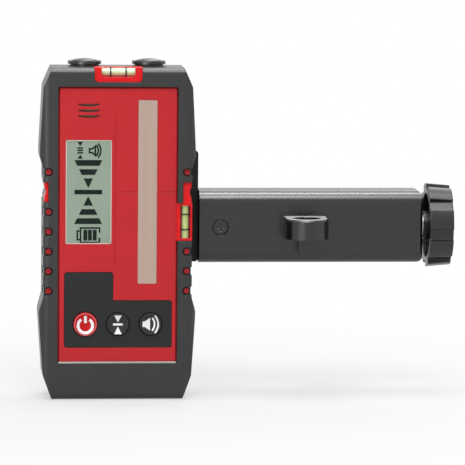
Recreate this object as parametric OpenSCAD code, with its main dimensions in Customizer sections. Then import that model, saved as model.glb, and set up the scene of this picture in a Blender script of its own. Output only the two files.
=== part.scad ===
// Laser receiver with a rod clamp, in millimetres.
// X runs to the right, Y to the back and Z up. The origin is the middle of the base.

/* [Receiver body] */
// Height of the receiver
body_h = 165; // [156:1:185]
// Depth of the front half, from the parting plane to the front lip
front_d = 15; // [14:0.5:18]
// Depth of the rear half, from the parting plane to the rear pad
rear_d = 15; // [14:0.5:18]
// Width of the front panel
panel_w = 57.8; // [54:0.2:66]
// Border of the case round the front panel
panel_border = 2.1; // [1.4:0.1:2.5]
// Case wall
wall = 2; // [1.6:0.1:2.4]
// Bare foot below the front panel
panel_foot = 19.1; // [16:0.1:22]
// Bare head above the front panel
panel_head = 10; // [8.8:0.1:12]
// Rubber under the case
sole_t = 5; // [3:0.5:7]
// Rubber over the case
crown_t = 6; // [5:0.5:7.5]
// Corner radius of the front panel
panel_r = 0.8; // [0.5:0.1:3]
// Gap between the front panel and the bumper's lip
lip_gap = 0.8; // [0.2:0.1:1]
// How far the front lip stands before the panel
lip_proud = 1; // [0.5:0.1:1.4]
// How far the panel stands before the case flange
panel_rise = 2.5; // [2.2:0.1:2.8]
// How far the rear pad stands behind the rear skin
pad_rise = 2.5; // [2:0.1:3]
// How far the rear pad stands behind the bumper
pad_proud = 0.5; // [0.3:0.1:1]
// Border of the case round the rear pad
pad_border = 1; // [0.8:0.1:2]
// Corner radius of the case
case_r = 3; // [1:0.5:4]

/* [Bumper] */
// Rubber beside the case at the waist
grip_t = 5.9; // [5.8:0.1:8]
// Bulge of the hips over the waist
hip_bulge = 2.2; // [0.5:0.1:3]
// Bulge of the shoulders over the waist
shoulder_bulge = 1.7; // [0.5:0.1:3]
// How far the foot draws in from the waist
foot_inset = 4.4; // [2:0.2:8]
// How far the head draws in from the waist
head_inset = 4.2; // [2:0.2:8]
// Height of the foot chamfer
foot_rise = 12; // [6:0.5:16]
// Height of the head chamfer
head_drop = 9.5; // [6:0.5:14]
// Length of the waist below the on-grade line
waist_below = 52.6; // [48:0.2:56]
// Length of the waist above the on-grade line
waist_above = 11.9; // [10:0.2:16]
// Slope from the waist to the hips
hip_slope = 7.5; // [4:0.5:12]
// Slope from the waist to the shoulders
shoulder_slope = 5.5; // [4:0.5:8]
// Height of the shoulder flat
shoulder_flat = 4; // [1:0.5:8]
// Rounding of the upright bumper edges
bumper_r = 5; // [2:0.5:7]
// Rounding of the bumper's head and foot edges
crown_r = 3; // [1:0.5:4]
// Pitch of the grip slots
slot_pitch = 9.85; // [9.4:0.05:10.2]
// Height of a grip slot
slot_h = 4.2; // [3.8:0.1:5]
// Depth of a grip slot in the front
slot_depth = 3; // [1.5:0.1:3.2]
// Depth of a grip slot in the side
slot_side = 0.4; // [0.2:0.1:1.5]
// How far a grip slot runs along the side
slot_run = 14; // [8:0.5:20]
// Diameter of an anchor stud
stud_d = 2.9; // [2.6:0.1:3.6]
// How far an anchor stud stands above the floor of its slot
stud_rise = 1.2; // [0.5:0.1:1.4]
// Distance of an anchor stud from the case wall
stud_out = 3.2; // [2:0.1:3.4]

/* [Display and detector] */
// Display window width
lcd_w = 22.8; // [20:0.2:25]
// Display window height
lcd_h = 51.7; // [46:0.1:58]
// Display window's distance from the panel's left edge
lcd_inset = 3; // [2.8:0.1:4]
// Display window corner radius
lcd_r = 0.8; // [0.5:0.1:2.5]
// Display lens thickness
lens_t = 1.2; // [0.8:0.1:1.4]
// How far the lenses lie below the panel
lens_sink = 0.15; // [0.05:0.05:0.3]
// Width of the ledge behind the lenses
ledge = 1.2; // [0.8:0.1:1.6]
// Display glass thickness
glass_t = 2.4; // [2:0.1:3]
// Backlight thickness
backlight_t = 1.4; // [1:0.1:2]
// Detector window width
detector_w = 9.5; // [9:0.1:12]
// Detector window's distance from the panel's right edge
detector_inset = 9.5; // [9:0.1:12]
// Panel above the detector window
detector_head = 5.7; // [4.6:0.1:8]
// Panel between the keypad and the detector window
detector_foot = 8.1; // [6:0.1:10]
// Number of photodiodes
diode_count = 11; // [7:1:13]
// Photodiode height
diode_h = 5.2; // [3:0.1:5.4]
// Photodiode thickness
diode_t = 1.4; // [1:0.1:1.6]
// Width of the engraved lines
line_w = 0.5; // [0.3:0.1:0.8]
// Depth of the engraved lines
line_depth = 0.25; // [0.1:0.05:0.5]

/* [Keypad and sounder] */
// Keypad panel's distance from the panel's left edge
keypad_left = 2.4; // [2:0.1:4]
// Keypad panel's distance from the panel's right edge
keypad_right = 1.8; // [1.6:0.1:4]
// Keypad panel's distance from the panel's lower edge
keypad_foot = 6.8; // [5:0.1:8]
// Keypad panel height
keypad_h = 23.8; // [22:0.2:26]
// Width of the keypad panel's raised part
keypad_step_w = 24.4; // [22:0.1:26]
// Height of the keypad panel's raised part
keypad_step_h = 14.1; // [10:0.1:15]
// Depth of the keypad panel's recess
keypad_t = 1; // [0.8:0.1:1.2]
// How far the keypad panel lies below the front panel
keypad_sink = 0.4; // [0.2:0.1:0.6]
// Keypad panel corner radius
keypad_r = 1.5; // [0.5:0.1:2.5]
// Pitch of the buttons
button_pitch = 16.2; // [15:0.1:17]
// Height of the buttons above the keypad panel's lower edge
button_rise = 11.8; // [10.5:0.1:13]
// Power button diameter
power_d = 11.7; // [10:0.1:12.4]
// Diameter of the other buttons
button_d = 11; // [10:0.1:12.4]
// How far the buttons stand before the front panel
button_proud = 0.9; // [0.8:0.1:1.2]
// Travel of a button
button_travel = 0.8; // [0.4:0.1:0.8]
// Width of the flange behind a button
button_rim = 1; // [0.8:0.1:1.3]
// Thickness of the flange behind a button
button_flange = 0.9; // [0.7:0.1:1]
// Sounder diameter
sounder_d = 12; // [10:0.1:13]
// Height of the sounder above the display window
sounder_rise = 14.4; // [12:0.1:15]
// Width of a speaker slot
speaker_w = 10.6; // [8:0.1:11]
// Height of a speaker slot
speaker_h = 1.4; // [0.7:0.1:1.6]
// Pitch of the speaker slots
speaker_pitch = 2.85; // [2.4:0.05:3]
// Sounder mesh thickness
mesh_t = 0.3; // [0.2:0.05:0.4]

/* [Boards and screws] */
// Board thickness
board_t = 1.6; // [1:0.1:2]
// Board screw diameter
board_screw_d = 2; // [1.6:0.1:2.4]
// Case screw diameter
case_screw_d = 3; // [2.5:0.1:3.2]
// Case screw head diameter
case_head_d = 5; // [4.6:0.1:5.2]
// Wall round a screw in its boss
boss_wall = 1.4; // [1.2:0.1:1.6]
// Shell seal width
seal_w = 0.9; // [0.6:0.1:1]
// Shell seal depth
seal_d = 1; // [0.6:0.1:1.4]

/* [Battery bay] */
// Cell diameter
cell_d = 14.3; // [13.6:0.1:14.5]
// Cell length without its nub
cell_len = 49.4; // [48:0.1:50]
// Cell nub length
nub_len = 1.1; // [0.8:0.1:1.4]
// Room for a contact at each end of the cells
contact_room = 1.6; // [1.4:0.1:2.5]
// Contact sheet thickness
contact_t = 0.4; // [0.3:0.1:0.6]
// Door thickness
door_t = 2; // [1.6:0.1:2.4]
// Door edge round the bay
door_lap = 1.6; // [1.4:0.1:2.5]
// Height of the hinge above the case's lower edge
hinge_rise = 4.5; // [4.2:0.1:6]
// Hinge pin diameter
hinge_pin_d = 2.4; // [1.8:0.1:2.6]
// Hinge pin length
hinge_pin_len = 3; // [2:0.1:4]
// Door seal height
door_seal_t = 0.5; // [0.3:0.1:0.6]

/* [Vials, marks and magnets] */
// Top cradle width
cradle_w = 23.6; // [22:0.2:26]
// Top cradle depth
cradle_d = 9.5; // [9:0.1:9.8]
// Corner radius of the top cradle
cradle_r = 2; // [1:0.1:3]
// Top vial diameter
top_vial_d = 5; // [4:0.1:5.2]
// Top vial length
top_vial_len = 16.6; // [14:0.1:19]
// Spacing of the rings on the top vial
top_ring_gap = 7.6; // [6:0.1:9]
// Side cradle height
side_cradle_h = 18.8; // [18:0.1:19.6]
// Distance of the side cradle's top below the on-grade line
side_cradle_drop = 5.5; // [5.3:0.1:6]
// Side vial diameter
side_vial_d = 4.6; // [4:0.1:4.8]
// Side vial length
side_vial_len = 16.2; // [14:0.1:17]
// Spacing of the rings on the side vial
side_ring_gap = 7.6; // [6:0.1:9]
// Ring width
ring_w = 0.7; // [0.4:0.1:1]
// Vial wall
vial_wall = 0.6; // [0.4:0.1:0.8]
// Height of a mark insert
mark_h = 9.8; // [9:0.1:11]
// Depth of the left mark insert into the bumper
mark_d = 2.5; // [2:0.1:4]
// Depth of the mark above the side cradle into the bumper
tab_d = 4.6; // [3:0.1:5]
// How far the marks lie below the bumper's side
mark_sink = 0.5; // [0.2:0.1:0.8]
// Depth of the on-grade notch
notch_d = 0.9; // [0.6:0.1:1.6]
// Height of the on-grade notch
notch_h = 5.6; // [4:0.1:7]
// How far the side cradle and the marks reach back
side_reach = 11; // [8:0.5:12]
// Spacing of the magnets
magnet_gap = 32; // [30:0.5:38]
// Magnet cup neck diameter
cup_neck_d = 14.4; // [14:0.1:15]
// Magnet cup rim diameter
cup_rim_d = 16.7; // [16:0.1:18]
// Magnet diameter
magnet_d = 12.4; // [10:0.1:12.6]
// Distance of the magnets behind the parting plane
magnet_back = 4; // [3.8:0.1:5]

/* [Mount plate] */
// How far the plate reaches to the left of the middle
plate_left = 22; // [20:0.5:26]
// How far the plate reaches to the right of the middle
plate_right = 42; // [41.6:0.1:48]
// Plate height
plate_h = 51.8; // [44:0.2:56]
// Width of the wing that carries the arm
wing_w = 10; // [6:0.5:11]
// Plate thickness
plate_t = 8; // [7.6:0.1:10]
// Plate's distance above the battery door
plate_lift = 1.5; // [1:0.1:3]
// Thumb screw diameter
thumb_d = 6.35; // [5:0.05:7]
// Thumb screw knob diameter
thumb_knob_d = 22; // [18:0.5:26]
// Thumb screw knob thickness
thumb_knob_t = 10; // [8:0.5:14]
// Threaded insert diameter
insert_d = 9; // [8.4:0.1:10]
// Threaded insert length
insert_len = 8; // [7:0.1:9]
// Locating peg diameter
peg_d = 4; // [3:0.1:5]
// Spacing of the locating pegs
peg_gap = 32; // [28:0.5:36]

/* [Clamp arm] */
// Arm length
arm_len = 113; // [104:0.2:130]
// Arm height
arm_h = 36.4; // [32:0.2:40]
// Arm depth
arm_d = 24; // [22:0.2:28]
// Distance of the screw's axis behind the rear pad
axis_back = 3; // [2:0.1:4]
// Height of the screw's axis above the plate's lower edge
axis_rise = 14.1; // [13:0.1:17]
// Arm wall
arm_wall = 3; // [2.4:0.1:3.6]
// End wall of the arm, which bears the lead screw
end_wall = 4.5; // [3.5:0.1:6]
// Rounding of the arm's long edges
arm_r = 6; // [3:0.5:8]
// Rounding of the arm's end corners
arm_end_r = 3.5; // [2:0.5:6]
// Corner radius of the arm's far end, seen from above
arm_nose_r = 1.5; // [1:0.5:4]
// Length of the tongue in the arm
tongue_len = 15.6; // [14:0.1:17]
// Height of the tongue
tongue_h = 18; // [14:0.5:20]
// Arm screw diameter
arm_screw_d = 4; // [2.5:0.1:4.4]
// Arm screw head diameter
arm_head_d = 7.2; // [5:0.1:7.4]
// Diameter of the recess round the arm screw
arm_recess_d = 8.3; // [8:0.1:9]
// Distance of the arm screw from the arm's left end
arm_screw_in = 10.7; // [8:0.1:11]
// Distance of the round level from the arm's left end
level_in = 53; // [46:0.2:60]
// Round level cup diameter
level_cup_d = 21.8; // [19:0.1:24]
// Round level diameter
level_d = 13.4; // [11:0.1:14]
// Distance of the round level's axis before the arm
level_out = 10.7; // [9:0.1:12]
// How far the round level lies below its cup's rim
level_sink = 2.5; // [0.5:0.1:3]
// Round level cup height
level_cup_h = 10.1; // [9:0.1:14]
// Height of the round level cup's lower face below the screw's axis
level_drop = 4.6; // [4:0.1:8]

/* [Jaws and lead screw] */
// Lead screw diameter
lead_d = 8; // [6:0.1:9]
// Lead screw journal diameter
journal_d = 6; // [4.6:0.1:6]
// Web between the tongue and the jaw channel
web_t = 5; // [4:0.1:8]
// Opening between the pads as drawn
jaw_gap = 40; // [10:1:56]
// Jaw thickness
jaw_t = 14; // [12:0.5:18]
// Pad thickness
pad_t = 2; // [1.5:0.1:3]
// Reach of the jaws behind the arm
jaw_reach = 22; // [16:0.5:30]
// Height of the jaw pads
pad_h = 24; // [18:0.5:27]
// Jaw nut diameter
nut_d = 13; // [11:0.1:15]
// Jaw nut flange thickness
nut_flange = 1.5; // [1:0.1:2]
// Thrust collar diameter
collar_d = 14; // [12:0.1:16]
// Thrust washer thickness
thrust_t = 1; // [0.6:0.1:1.4]
// Gap between the arm and the knob
knob_gap = 3; // [2:0.1:4]
// Knob diameter
knob_d = 42.2; // [34:0.2:48]
// Knob length
knob_len = 11.8; // [10:0.1:18]
// Number of knob lobes
lobe_count = 8; // [6:1:10]
// Depth of the flutes between the lobes
flute_depth = 2.6; // [1.5:0.1:3.5]
// Width of the flutes between the lobes
flute_w = 6.8; // [5:0.1:8]
// Turn of the knob as drawn, in degrees
knob_phase = 12.9; // [0:0.1:45]
// How much narrower the knob is at its outer end
knob_taper = 2; // [0:0.1:3]
// Depth of the hollow in the knob's inner end
knob_hollow = 7; // [4:0.1:8]
// Knob wall between the hollow and the flutes
knob_wall = 2.2; // [1.6:0.1:3]
// Knob cap diameter
cap_d = 24; // [18:0.2:28]
// Knob cap thickness
cap_t = 1.5; // [1:0.1:2]

/* [Fits] */
// Gap between pieces that sit in each other
seat = 0.05; // [0.03:0.01:0.1]
// Radial clearance of pins and shafts
fit = 0.05; // [0.03:0.01:0.1]
// Clearance of pieces that move past each other
slack = 0.35; // [0.3:0.05:0.45]

/* [Hidden] */
$fn = 48;

// How far a cut runs past the face it opens
over = 1;

// Planes of the receiver along Y, from the front lip to the rear pad
front_y = -front_d;
panel_y = front_y + lip_proud;
panel_back = panel_y + wall;
flange_y = panel_y + panel_rise;
flange_back = flange_y + wall;
board_y = panel_back + glass_t + backlight_t;
board_back = board_y + board_t;
rear_y = rear_d;
skin_y = rear_y - pad_rise;
skin_inner = skin_y - wall;
bumper_y = rear_y - pad_proud;

// Case, panel and rear pad
case_w = panel_w + 2 * panel_border;
case_x = case_w / 2;
case_z0 = sole_t;
case_z1 = body_h - crown_t;
panel_z0 = panel_foot;
panel_z1 = body_h - panel_head;
pad_x = case_x - pad_border;
pad_z0 = case_z0 + pad_border;
pad_z1 = case_z1 - pad_border;
waist_x = case_x + grip_t;

// Keypad, detector and display on the panel
keypad_x0 = keypad_left - panel_w / 2;
keypad_x1 = panel_w / 2 - keypad_right;
keypad_z0 = panel_z0 + keypad_foot;
keypad_z1 = keypad_z0 + keypad_h;
button_x = (keypad_x0 + keypad_x1) / 2;
button_z = keypad_z0 + button_rise;
detector_z0 = keypad_z1 + detector_foot;
detector_z1 = panel_z1 - detector_head;
detector_h = detector_z1 - detector_z0;
detector_x = panel_w / 2 - detector_inset - detector_w / 2;
grade_z = (detector_z0 + detector_z1) / 2;
lcd_x = lcd_inset + lcd_w / 2 - panel_w / 2;
lcd_lap = 0.6;
sounder_z = grade_z + lcd_h / 2 + sounder_rise;
lens_y = panel_y + lens_sink;
crease_gap = 2.1;
crease_x = lcd_x + lcd_w / 2 + crease_gap;
crease_reach = 37;
waist_z0 = grade_z - waist_below;
waist_z1 = grade_z + waist_above;

// Grip slots by their place from the on-grade line, in pitches
left_slots = [-5, -4, -3, -2, -1, 1];
right_slots = [-5, -4, -3, 1];
stud_x = case_x + stud_out;

// Screws and boards
case_boss_r = case_screw_d / 2 + boss_wall;
boss_sink = 0.5;
case_screw_x = case_x - wall - case_boss_r + boss_sink;
case_screw_z0 = case_z0 + wall + case_boss_r - boss_sink;
case_screw_z1 = case_z1 - wall - case_boss_r + boss_sink;
case_head_t = 2;
case_head_y = skin_y - wall / 4;
screw_floor = 2;
case_screw_end = flange_back + screw_floor;
board_x = case_x - wall - 2 * slack;
board_z0 = panel_z0 + wall + slack;
board_z1 = case_screw_z1 - case_boss_r - slack;
board_screw_in = 3.5;
board_screw_x = board_x - board_screw_in;
board_head_t = 1.2;
detector_board_lap = 1.3;
detector_board_x = detector_w / 2 + detector_board_lap;
detector_board_y = panel_back + slack + diode_t;
detector_board_back = detector_board_y + board_t;
stem_len = 0.4;
button_land = 0.9;
flange_front = panel_back + slack;
stem_end = flange_front + button_flange + stem_len;
switch_y = stem_end + button_travel + slack;
chip_w = 12;
chip_h = 8;
chip_t = 1.3;
chip_pitch = 16;
header_h = 6;

// Battery bay and door
hinge_y = skin_y + 2 * seat;
hinge_z = case_z0 + hinge_rise;
barrel_r = skin_y + door_t - hinge_y;
bay_land = 1.2;
bay_w = 2 * cell_d + 3 * slack;
bay_y = skin_y - 2 * slack - seat - cell_d;
bay_z0 = hinge_z + barrel_r + slack + bay_land;
bay_z1 = bay_z0 + cell_len + nub_len + 2 * contact_room;
tub_wall = 1.5;
door_x = bay_w / 2 + door_lap;
door_z1 = bay_z1 + door_lap;
door_floor = skin_y - slack - door_seal_t;
cell_x = (cell_d + slack) / 2;
cell_y = bay_y + seat + cell_d / 2;
cell_z = bay_z0 + contact_room;

// Top and side vials
cradle_set = 0.5;
cradle_y = front_y + cradle_set;
cradle_sill = 1.5;
window_r = 1.6;
cradle_proud = 0.3;
cradle_skirt = 1;
top_vial_y = cradle_y + cradle_d / 2;
top_vial_rise = 0.2;
top_vial_z = body_h + top_vial_rise - top_vial_d / 2;
side_z1 = grade_z - side_cradle_drop;
side_z0 = side_z1 - side_cradle_h;
side_y1 = panel_y + side_reach;
side_vial_gap = 0.2;
side_vial_sink = 0.3;
side_vial_x = case_x + side_vial_gap + side_vial_d / 2;
side_vial_y = panel_y + side_vial_sink + side_vial_d / 2;
side_vial_z0 = side_z0 + (side_cradle_h - side_vial_len) / 2;
ring_t = 0.1;
mark_z0 = grade_z - mark_h / 2;
mark_z1 = grade_z + mark_h / 2;
mark_x = waist_x - mark_d;
tab_x = waist_x - tab_d;
mark_face = waist_x - mark_sink;

// Magnets on the head
cup_lift = 1;
cup_rim_t = 1.6;
magnet_bed = 2;
magnet_rise = 3.8;
magnet_seat_z = case_z1 + magnet_bed;
magnet_top = body_h + magnet_rise;
dome_h = 0.9;

// Mount plate and thumb screw
plate_y = rear_y + plate_t;
plate_z0 = door_z1 + plate_lift;
plate_z1 = plate_z0 + plate_h;
thumb_z = (plate_z0 + plate_z1) / 2;
plate_web = 1.2;
washer_t = 1;
washer_y = rear_y + slack;
washer_lap = 2;
washer_d = insert_d + washer_lap;
groove_depth = 0.6;
groove_d = thumb_d - 2 * groove_depth;
peg_drop = 9.5;
peg_z = plate_z1 - peg_drop;
peg_len = 2.2;

// Clamp arm, lead screw and jaws
arm_x0 = plate_right;
arm_x1 = arm_x0 + arm_len;
axis_y = rear_y + axis_back;
axis_z = plate_z0 + axis_rise;
arm_y0 = axis_y - arm_d / 2;
arm_y1 = axis_y + arm_d / 2;
tongue_y0 = arm_y0 + arm_wall;
tongue_land = 2;
tongue_y1 = plate_y - tongue_land;
tongue_root = 4;
clip_t = 1;
clip_room = 3.4;
clip_lap = 2;
clip_d = journal_d + 2 * clip_lap;
web_x = arm_x0 + tongue_len + clip_room;
channel_x0 = web_x + web_t;
channel_x1 = arm_x1 - end_wall;
clip_x1 = web_x - slack;
clip_groove = 0.8;
clip_groove_d = journal_d - 2 * clip_groove;
arm_screw_x = arm_x0 + arm_screw_in;
arm_head_t = 1.8;
arm_head_sink = 0.3;
arm_screw_len = 9;
jaw_h = arm_h - 2 * arm_wall - 2 * slack;
jaw_y0 = arm_y0 + arm_wall + slack;
jaw_y1 = arm_y1 + jaw_reach;
jaw_x = channel_x0 + jaw_gap + pad_t;
fixed_x = channel_x0 - pad_t - jaw_t;
pad_inset = 1;
collar_t = 3;
collar_x1 = channel_x1 - slack;
knob_x0 = arm_x1 + knob_gap;
knob_x1 = knob_x0 + knob_len;
cap_web = 1.5;
lead_end = knob_x1 - cap_t - cap_web;
level_x = arm_x0 + level_in;
level_y = arm_y0 - level_out;
level_z0 = axis_z - level_drop;
level_z1 = level_z0 + level_cup_h;
level_floor = 1.5;
level_wall = 1;
rib_w = 7;
cup_bevel = 0.7;
rib_h = 9.2;
rib_d = 7;
rib_r = 2.6;

// Box between two corners, each axis by its own pair
module slab(x0, x1, y0, y1, z0, z1) {
    translate([x0, y0, z0])
        cube([x1 - x0, y1 - y0, z1 - z0]);
}

// Round bar along X
module bar_x(y, z, d, x0, x1) {
    translate([x0, y, z])
        rotate([0, 90, 0])
            cylinder(d = d, h = x1 - x0);
}

// Round bar along Y
module bar_y(x, z, d, y0, y1) {
    translate([x, y0, z])
        rotate([-90, 0, 0])
            cylinder(d = d, h = y1 - y0);
}

// Round bar along Z
module bar_z(x, y, d, z0, z1) {
    translate([x, y, z0])
        cylinder(d = d, h = z1 - z0);
}

// Rectangle with round corners, from its corners
module rounded(x0, x1, y0, y1, r) {
    translate([x0 + r, y0])
        square([x1 - x0 - 2 * r, y1 - y0]);
    translate([x0, y0 + r])
        square([x1 - x0, y1 - y0 - 2 * r]);
    for (x = [x0 + r, x1 - r], y = [y0 + r, y1 - r])
        translate([x, y])
            circle(r);
}

// Flat XZ shape as a plate from y0 back to y1
module plate(y0, y1) {
    translate([0, y1, 0])
        rotate([90, 0, 0])
            linear_extrude(y1 - y0)
                children();
}

// Plate with round corners
module rounded_plate(x0, x1, z0, z1, r, y0, y1) {
    plate(y0, y1)
        rounded(x0, x1, z0, z1, r);
}

// Round outline with flat-floored flutes between its lobes, for the knobs
module lobed(d, count, depth, width) {
    floor_x = d / 2 - depth;
    beyond = d / 2 + over;
    flare = depth / 3;
    difference() {
        circle(d = d);
        for (i = [0 : count - 1])
            rotate((i + 0.5) * 360 / count)
                polygon([
                    [floor_x, flare - width / 2],
                    [beyond, -width / 2 - flare * over / depth],
                    [beyond, width / 2 + flare * over / depth],
                    [floor_x, width / 2 - flare]
                ]);
    }
}

// Half outline of the bumper, from the foot to the head
function bumper_edge() = [
    [waist_x - foot_inset, 0],
    [waist_x, foot_rise],
    [waist_x + hip_bulge, waist_z0 - hip_slope],
    [waist_x, waist_z0],
    [waist_x, waist_z1],
    [waist_x + shoulder_bulge, waist_z1 + shoulder_slope],
    [waist_x + shoulder_bulge, waist_z1 + shoulder_slope + shoulder_flat],
    [waist_x, body_h - head_drop],
    [waist_x - head_inset, body_h]
];

// Outer form of the bumper: its outline, rounded over the front and rear edges
module bumper_form() {
    edge = bumper_edge();
    mirrored = [for (i = [len(edge) - 1 : -1 : 0]) [-edge[i][0], edge[i][1]]];
    widest = waist_x + max(hip_bulge, shoulder_bulge);
    intersection() {
        plate(front_y, bumper_y)
            polygon(concat(edge, mirrored));
        linear_extrude(body_h)
            rounded(-widest, widest, front_y, bumper_y, bumper_r);
        rotate([90, 0, 90])
            translate([0, 0, -widest])
                linear_extrude(2 * widest)
                    rounded(front_y, bumper_y, 0, body_h, crown_r);
    }
}

// Puts a right-hand shape at each grip slot, on both sides
module at_slots() {
    for (k = right_slots)
        translate([0, 0, grade_z + k * slot_pitch])
            children();
    for (k = left_slots)
        mirror([1, 0, 0])
            translate([0, 0, grade_z + k * slot_pitch])
                children();
}

// Groove of one grip slot, in the front and round the side
module slot_groove() {
    beyond = waist_x + hip_bulge + over;
    bar_y(stud_x, 0, slot_h, front_y - over, front_y + slot_depth);
    slab(stud_x, beyond, front_y - over, front_y + slot_depth, -slot_h / 2, slot_h / 2);
    slab(waist_x - slot_side, beyond, front_y - over, front_y + slot_run, -slot_h / 2, slot_h / 2);
}

// Anchor of the case in the rubber: a lug on the flange and a stud that shows in the slot
module anchor(gap) {
    stud_r = stud_d / 2 + gap;
    slab(case_x - boss_sink, stud_x + stud_r, flange_y, flange_back + gap, -stud_r, stud_r);
    bar_y(stud_x, 0, 2 * stud_r, front_y + slot_depth - stud_rise, flange_back);
}

// Room that the side cradle takes, with a gap all round
module side_cradle_form(gap) {
    slab(case_x, waist_x, panel_y, side_y1 + gap, side_z0 - gap, side_z1 + gap);
    slab(panel_w / 2 + seat - gap, waist_x, panel_y, flange_y, side_z0 - gap, side_z1 + gap);
    slab(tab_x - gap, waist_x, panel_y, side_y1 + gap, side_z1, mark_z1 + gap);
}

// Rubber sleeve round the case
module bumper() {
    open_front = front_y - over;
    color([0.25, 0.26, 0.27])
    difference() {
        bumper_form();
        rounded_plate(-case_x - seat, case_x + seat, case_z0 - seat, case_z1 + seat, case_r,
            flange_y, skin_y);
        rounded_plate(-panel_w / 2 - lip_gap, panel_w / 2 + lip_gap, panel_z0 - lip_gap, panel_z1 + lip_gap,
            panel_r, open_front, flange_y + over);
        rounded_plate(-pad_x - seat, pad_x + seat, pad_z0 - seat, pad_z1 + seat, case_r,
            skin_y - over, rear_y);
        at_slots() {
            slot_groove();
            anchor(seat);
        }
        slab(-cradle_w / 2 - seat, cradle_w / 2 + seat, flange_y - seat, cradle_y + cradle_d + seat,
            case_z1 - seat, body_h + over);
        rounded_plate(-cradle_w / 2 - seat, cradle_w / 2 + seat, case_z1 - cradle_skirt - seat,
            body_h + over + cradle_r, cradle_r, open_front, flange_y);
        for (x = [-magnet_gap / 2, magnet_gap / 2])
            bar_z(x, magnet_back, cup_neck_d + 2 * seat, case_z1, body_h + over);
        side_cradle_form(seat);
        translate([0, open_front - panel_y, 0])
            side_cradle_form(seat);
        translate([grip_t, 0, 0])
            side_cradle_form(seat);
        mirror([1, 0, 0])
            slab(mark_x - seat, waist_x + over, open_front, side_y1 + seat,
                mark_z0 - seat, mark_z1 + seat);
        for (side = [0, 1])
            mirror([side, 0, 0]) {
                slab(mark_face, waist_x + over, open_front, rear_y, mark_z0 - seat, mark_z1 + seat);
                grade_notch();
            }
    }
}

// Outline of the L-shaped keypad panel, shrunk by a gap
module keypad_outline(gap) {
    step_x = keypad_x0 + keypad_step_w;
    rounded(keypad_x0 + gap, keypad_x1 - gap, keypad_z0 + gap, keypad_z1 - gap, keypad_r);
    rounded(keypad_x0 + gap, step_x - gap, keypad_z0 + gap, keypad_z1 + keypad_step_h - gap, keypad_r);
    for (i = [0 : 2])
        translate([button_x + (i - 1) * button_pitch, button_z])
            circle(cap_of(i) / 2 + slack + button_land - gap);
}

// Puts a shape at a button, counted from the left
module at_button(i) {
    translate([button_x + (i - 1) * button_pitch, 0, button_z])
        children();
}

// Diameter of a button, counted from the left
function cap_of(i) = i == 0 ? power_d : button_d;

// Speaker slot with a flat upper edge and a curved lower edge
module speaker_slot() {
    sag = speaker_h / 2;
    r = (speaker_w * speaker_w / 4 + sag * sag) / (2 * sag);
    intersection() {
        translate([-speaker_w / 2, -sag])
            square([speaker_w, speaker_h]);
        translate([0, r - sag])
            circle(r, $fn = 180);
    }
}

// Pocket and opening for a lens in the panel
module lens_opening(x, z, w, h) {
    rounded_plate(x - w / 2, x + w / 2, z - h / 2, z + h / 2, lcd_r,
        panel_y - over, lens_y + lens_t);
    slab(x - w / 2 + ledge, x + w / 2 - ledge, panel_y, panel_back + over,
        z - h / 2 + ledge, z + h / 2 - ledge);
}

// Lens that fills such a pocket
module lens(x, z, w, h) {
    rounded_plate(x - w / 2 + seat, x + w / 2 - seat, z - h / 2 + seat, z + h / 2 - seat, lcd_r,
        lens_y, lens_y + lens_t);
}

// Red front half of the case, with the panel as its face
module front_shell() {
    color([0.78, 0.13, 0.16])
    difference() {
        union() {
            difference() {
                union() {
                    rounded_plate(-case_x, case_x, case_z0, case_z1, case_r, flange_y, 0);
                    rounded_plate(-panel_w / 2, panel_w / 2, panel_z0, panel_z1, panel_r,
                        panel_y, flange_y);
                    at_slots()
                        anchor(0);
                }
                slab(-case_x + wall, case_x - wall, flange_back, over, case_z0 + wall, case_z1 - wall);
                slab(-panel_w / 2 + wall, panel_w / 2 - wall, panel_back, over,
                    panel_z0 + wall, panel_z1 - wall);
            }
            for (x = [-case_screw_x, case_screw_x], z = [case_screw_z0, case_screw_z1])
                bar_y(x, z, 2 * case_boss_r, flange_back, 0);
            for (x = [-board_screw_x, board_screw_x], z = [board_z0, board_z1 - 2 * board_screw_in])
                bar_y(x, z + board_screw_in, board_screw_d + 2 * boss_wall, panel_back, board_y);
        }
        lens_opening(lcd_x, grade_z, lcd_w, lcd_h);
        lens_opening(detector_x, grade_z, detector_w, detector_h);
        plate(panel_y - over, panel_y + keypad_t)
            keypad_outline(0);
        for (i = [0 : 2])
            at_button(i)
                bar_y(0, 0, cap_of(i) + 2 * slack, panel_y, panel_back + over);
        for (i = [-1 : 1])
            translate([lcd_x, 0, sounder_z + i * speaker_pitch])
                plate(panel_y - over, panel_back + over)
                    speaker_slot();
        slab(crease_x, panel_w / 2 + over, panel_y - over, panel_y + line_depth,
            grade_z - line_w / 2, grade_z + line_w / 2);
        slab(crease_x - line_w, crease_x, panel_y - over, panel_y + line_depth,
            grade_z - crease_reach, grade_z + crease_reach);
        for (x = [-case_screw_x, case_screw_x], z = [case_screw_z0, case_screw_z1])
            bar_y(x, z, case_screw_d + 2 * fit, case_screw_end, over);
        for (x = [-board_screw_x, board_screw_x], z = [board_z0, board_z1 - 2 * board_screw_in])
            bar_y(x, z + board_screw_in, board_screw_d + 2 * fit, panel_back, board_y + over);
    }
}

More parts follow.
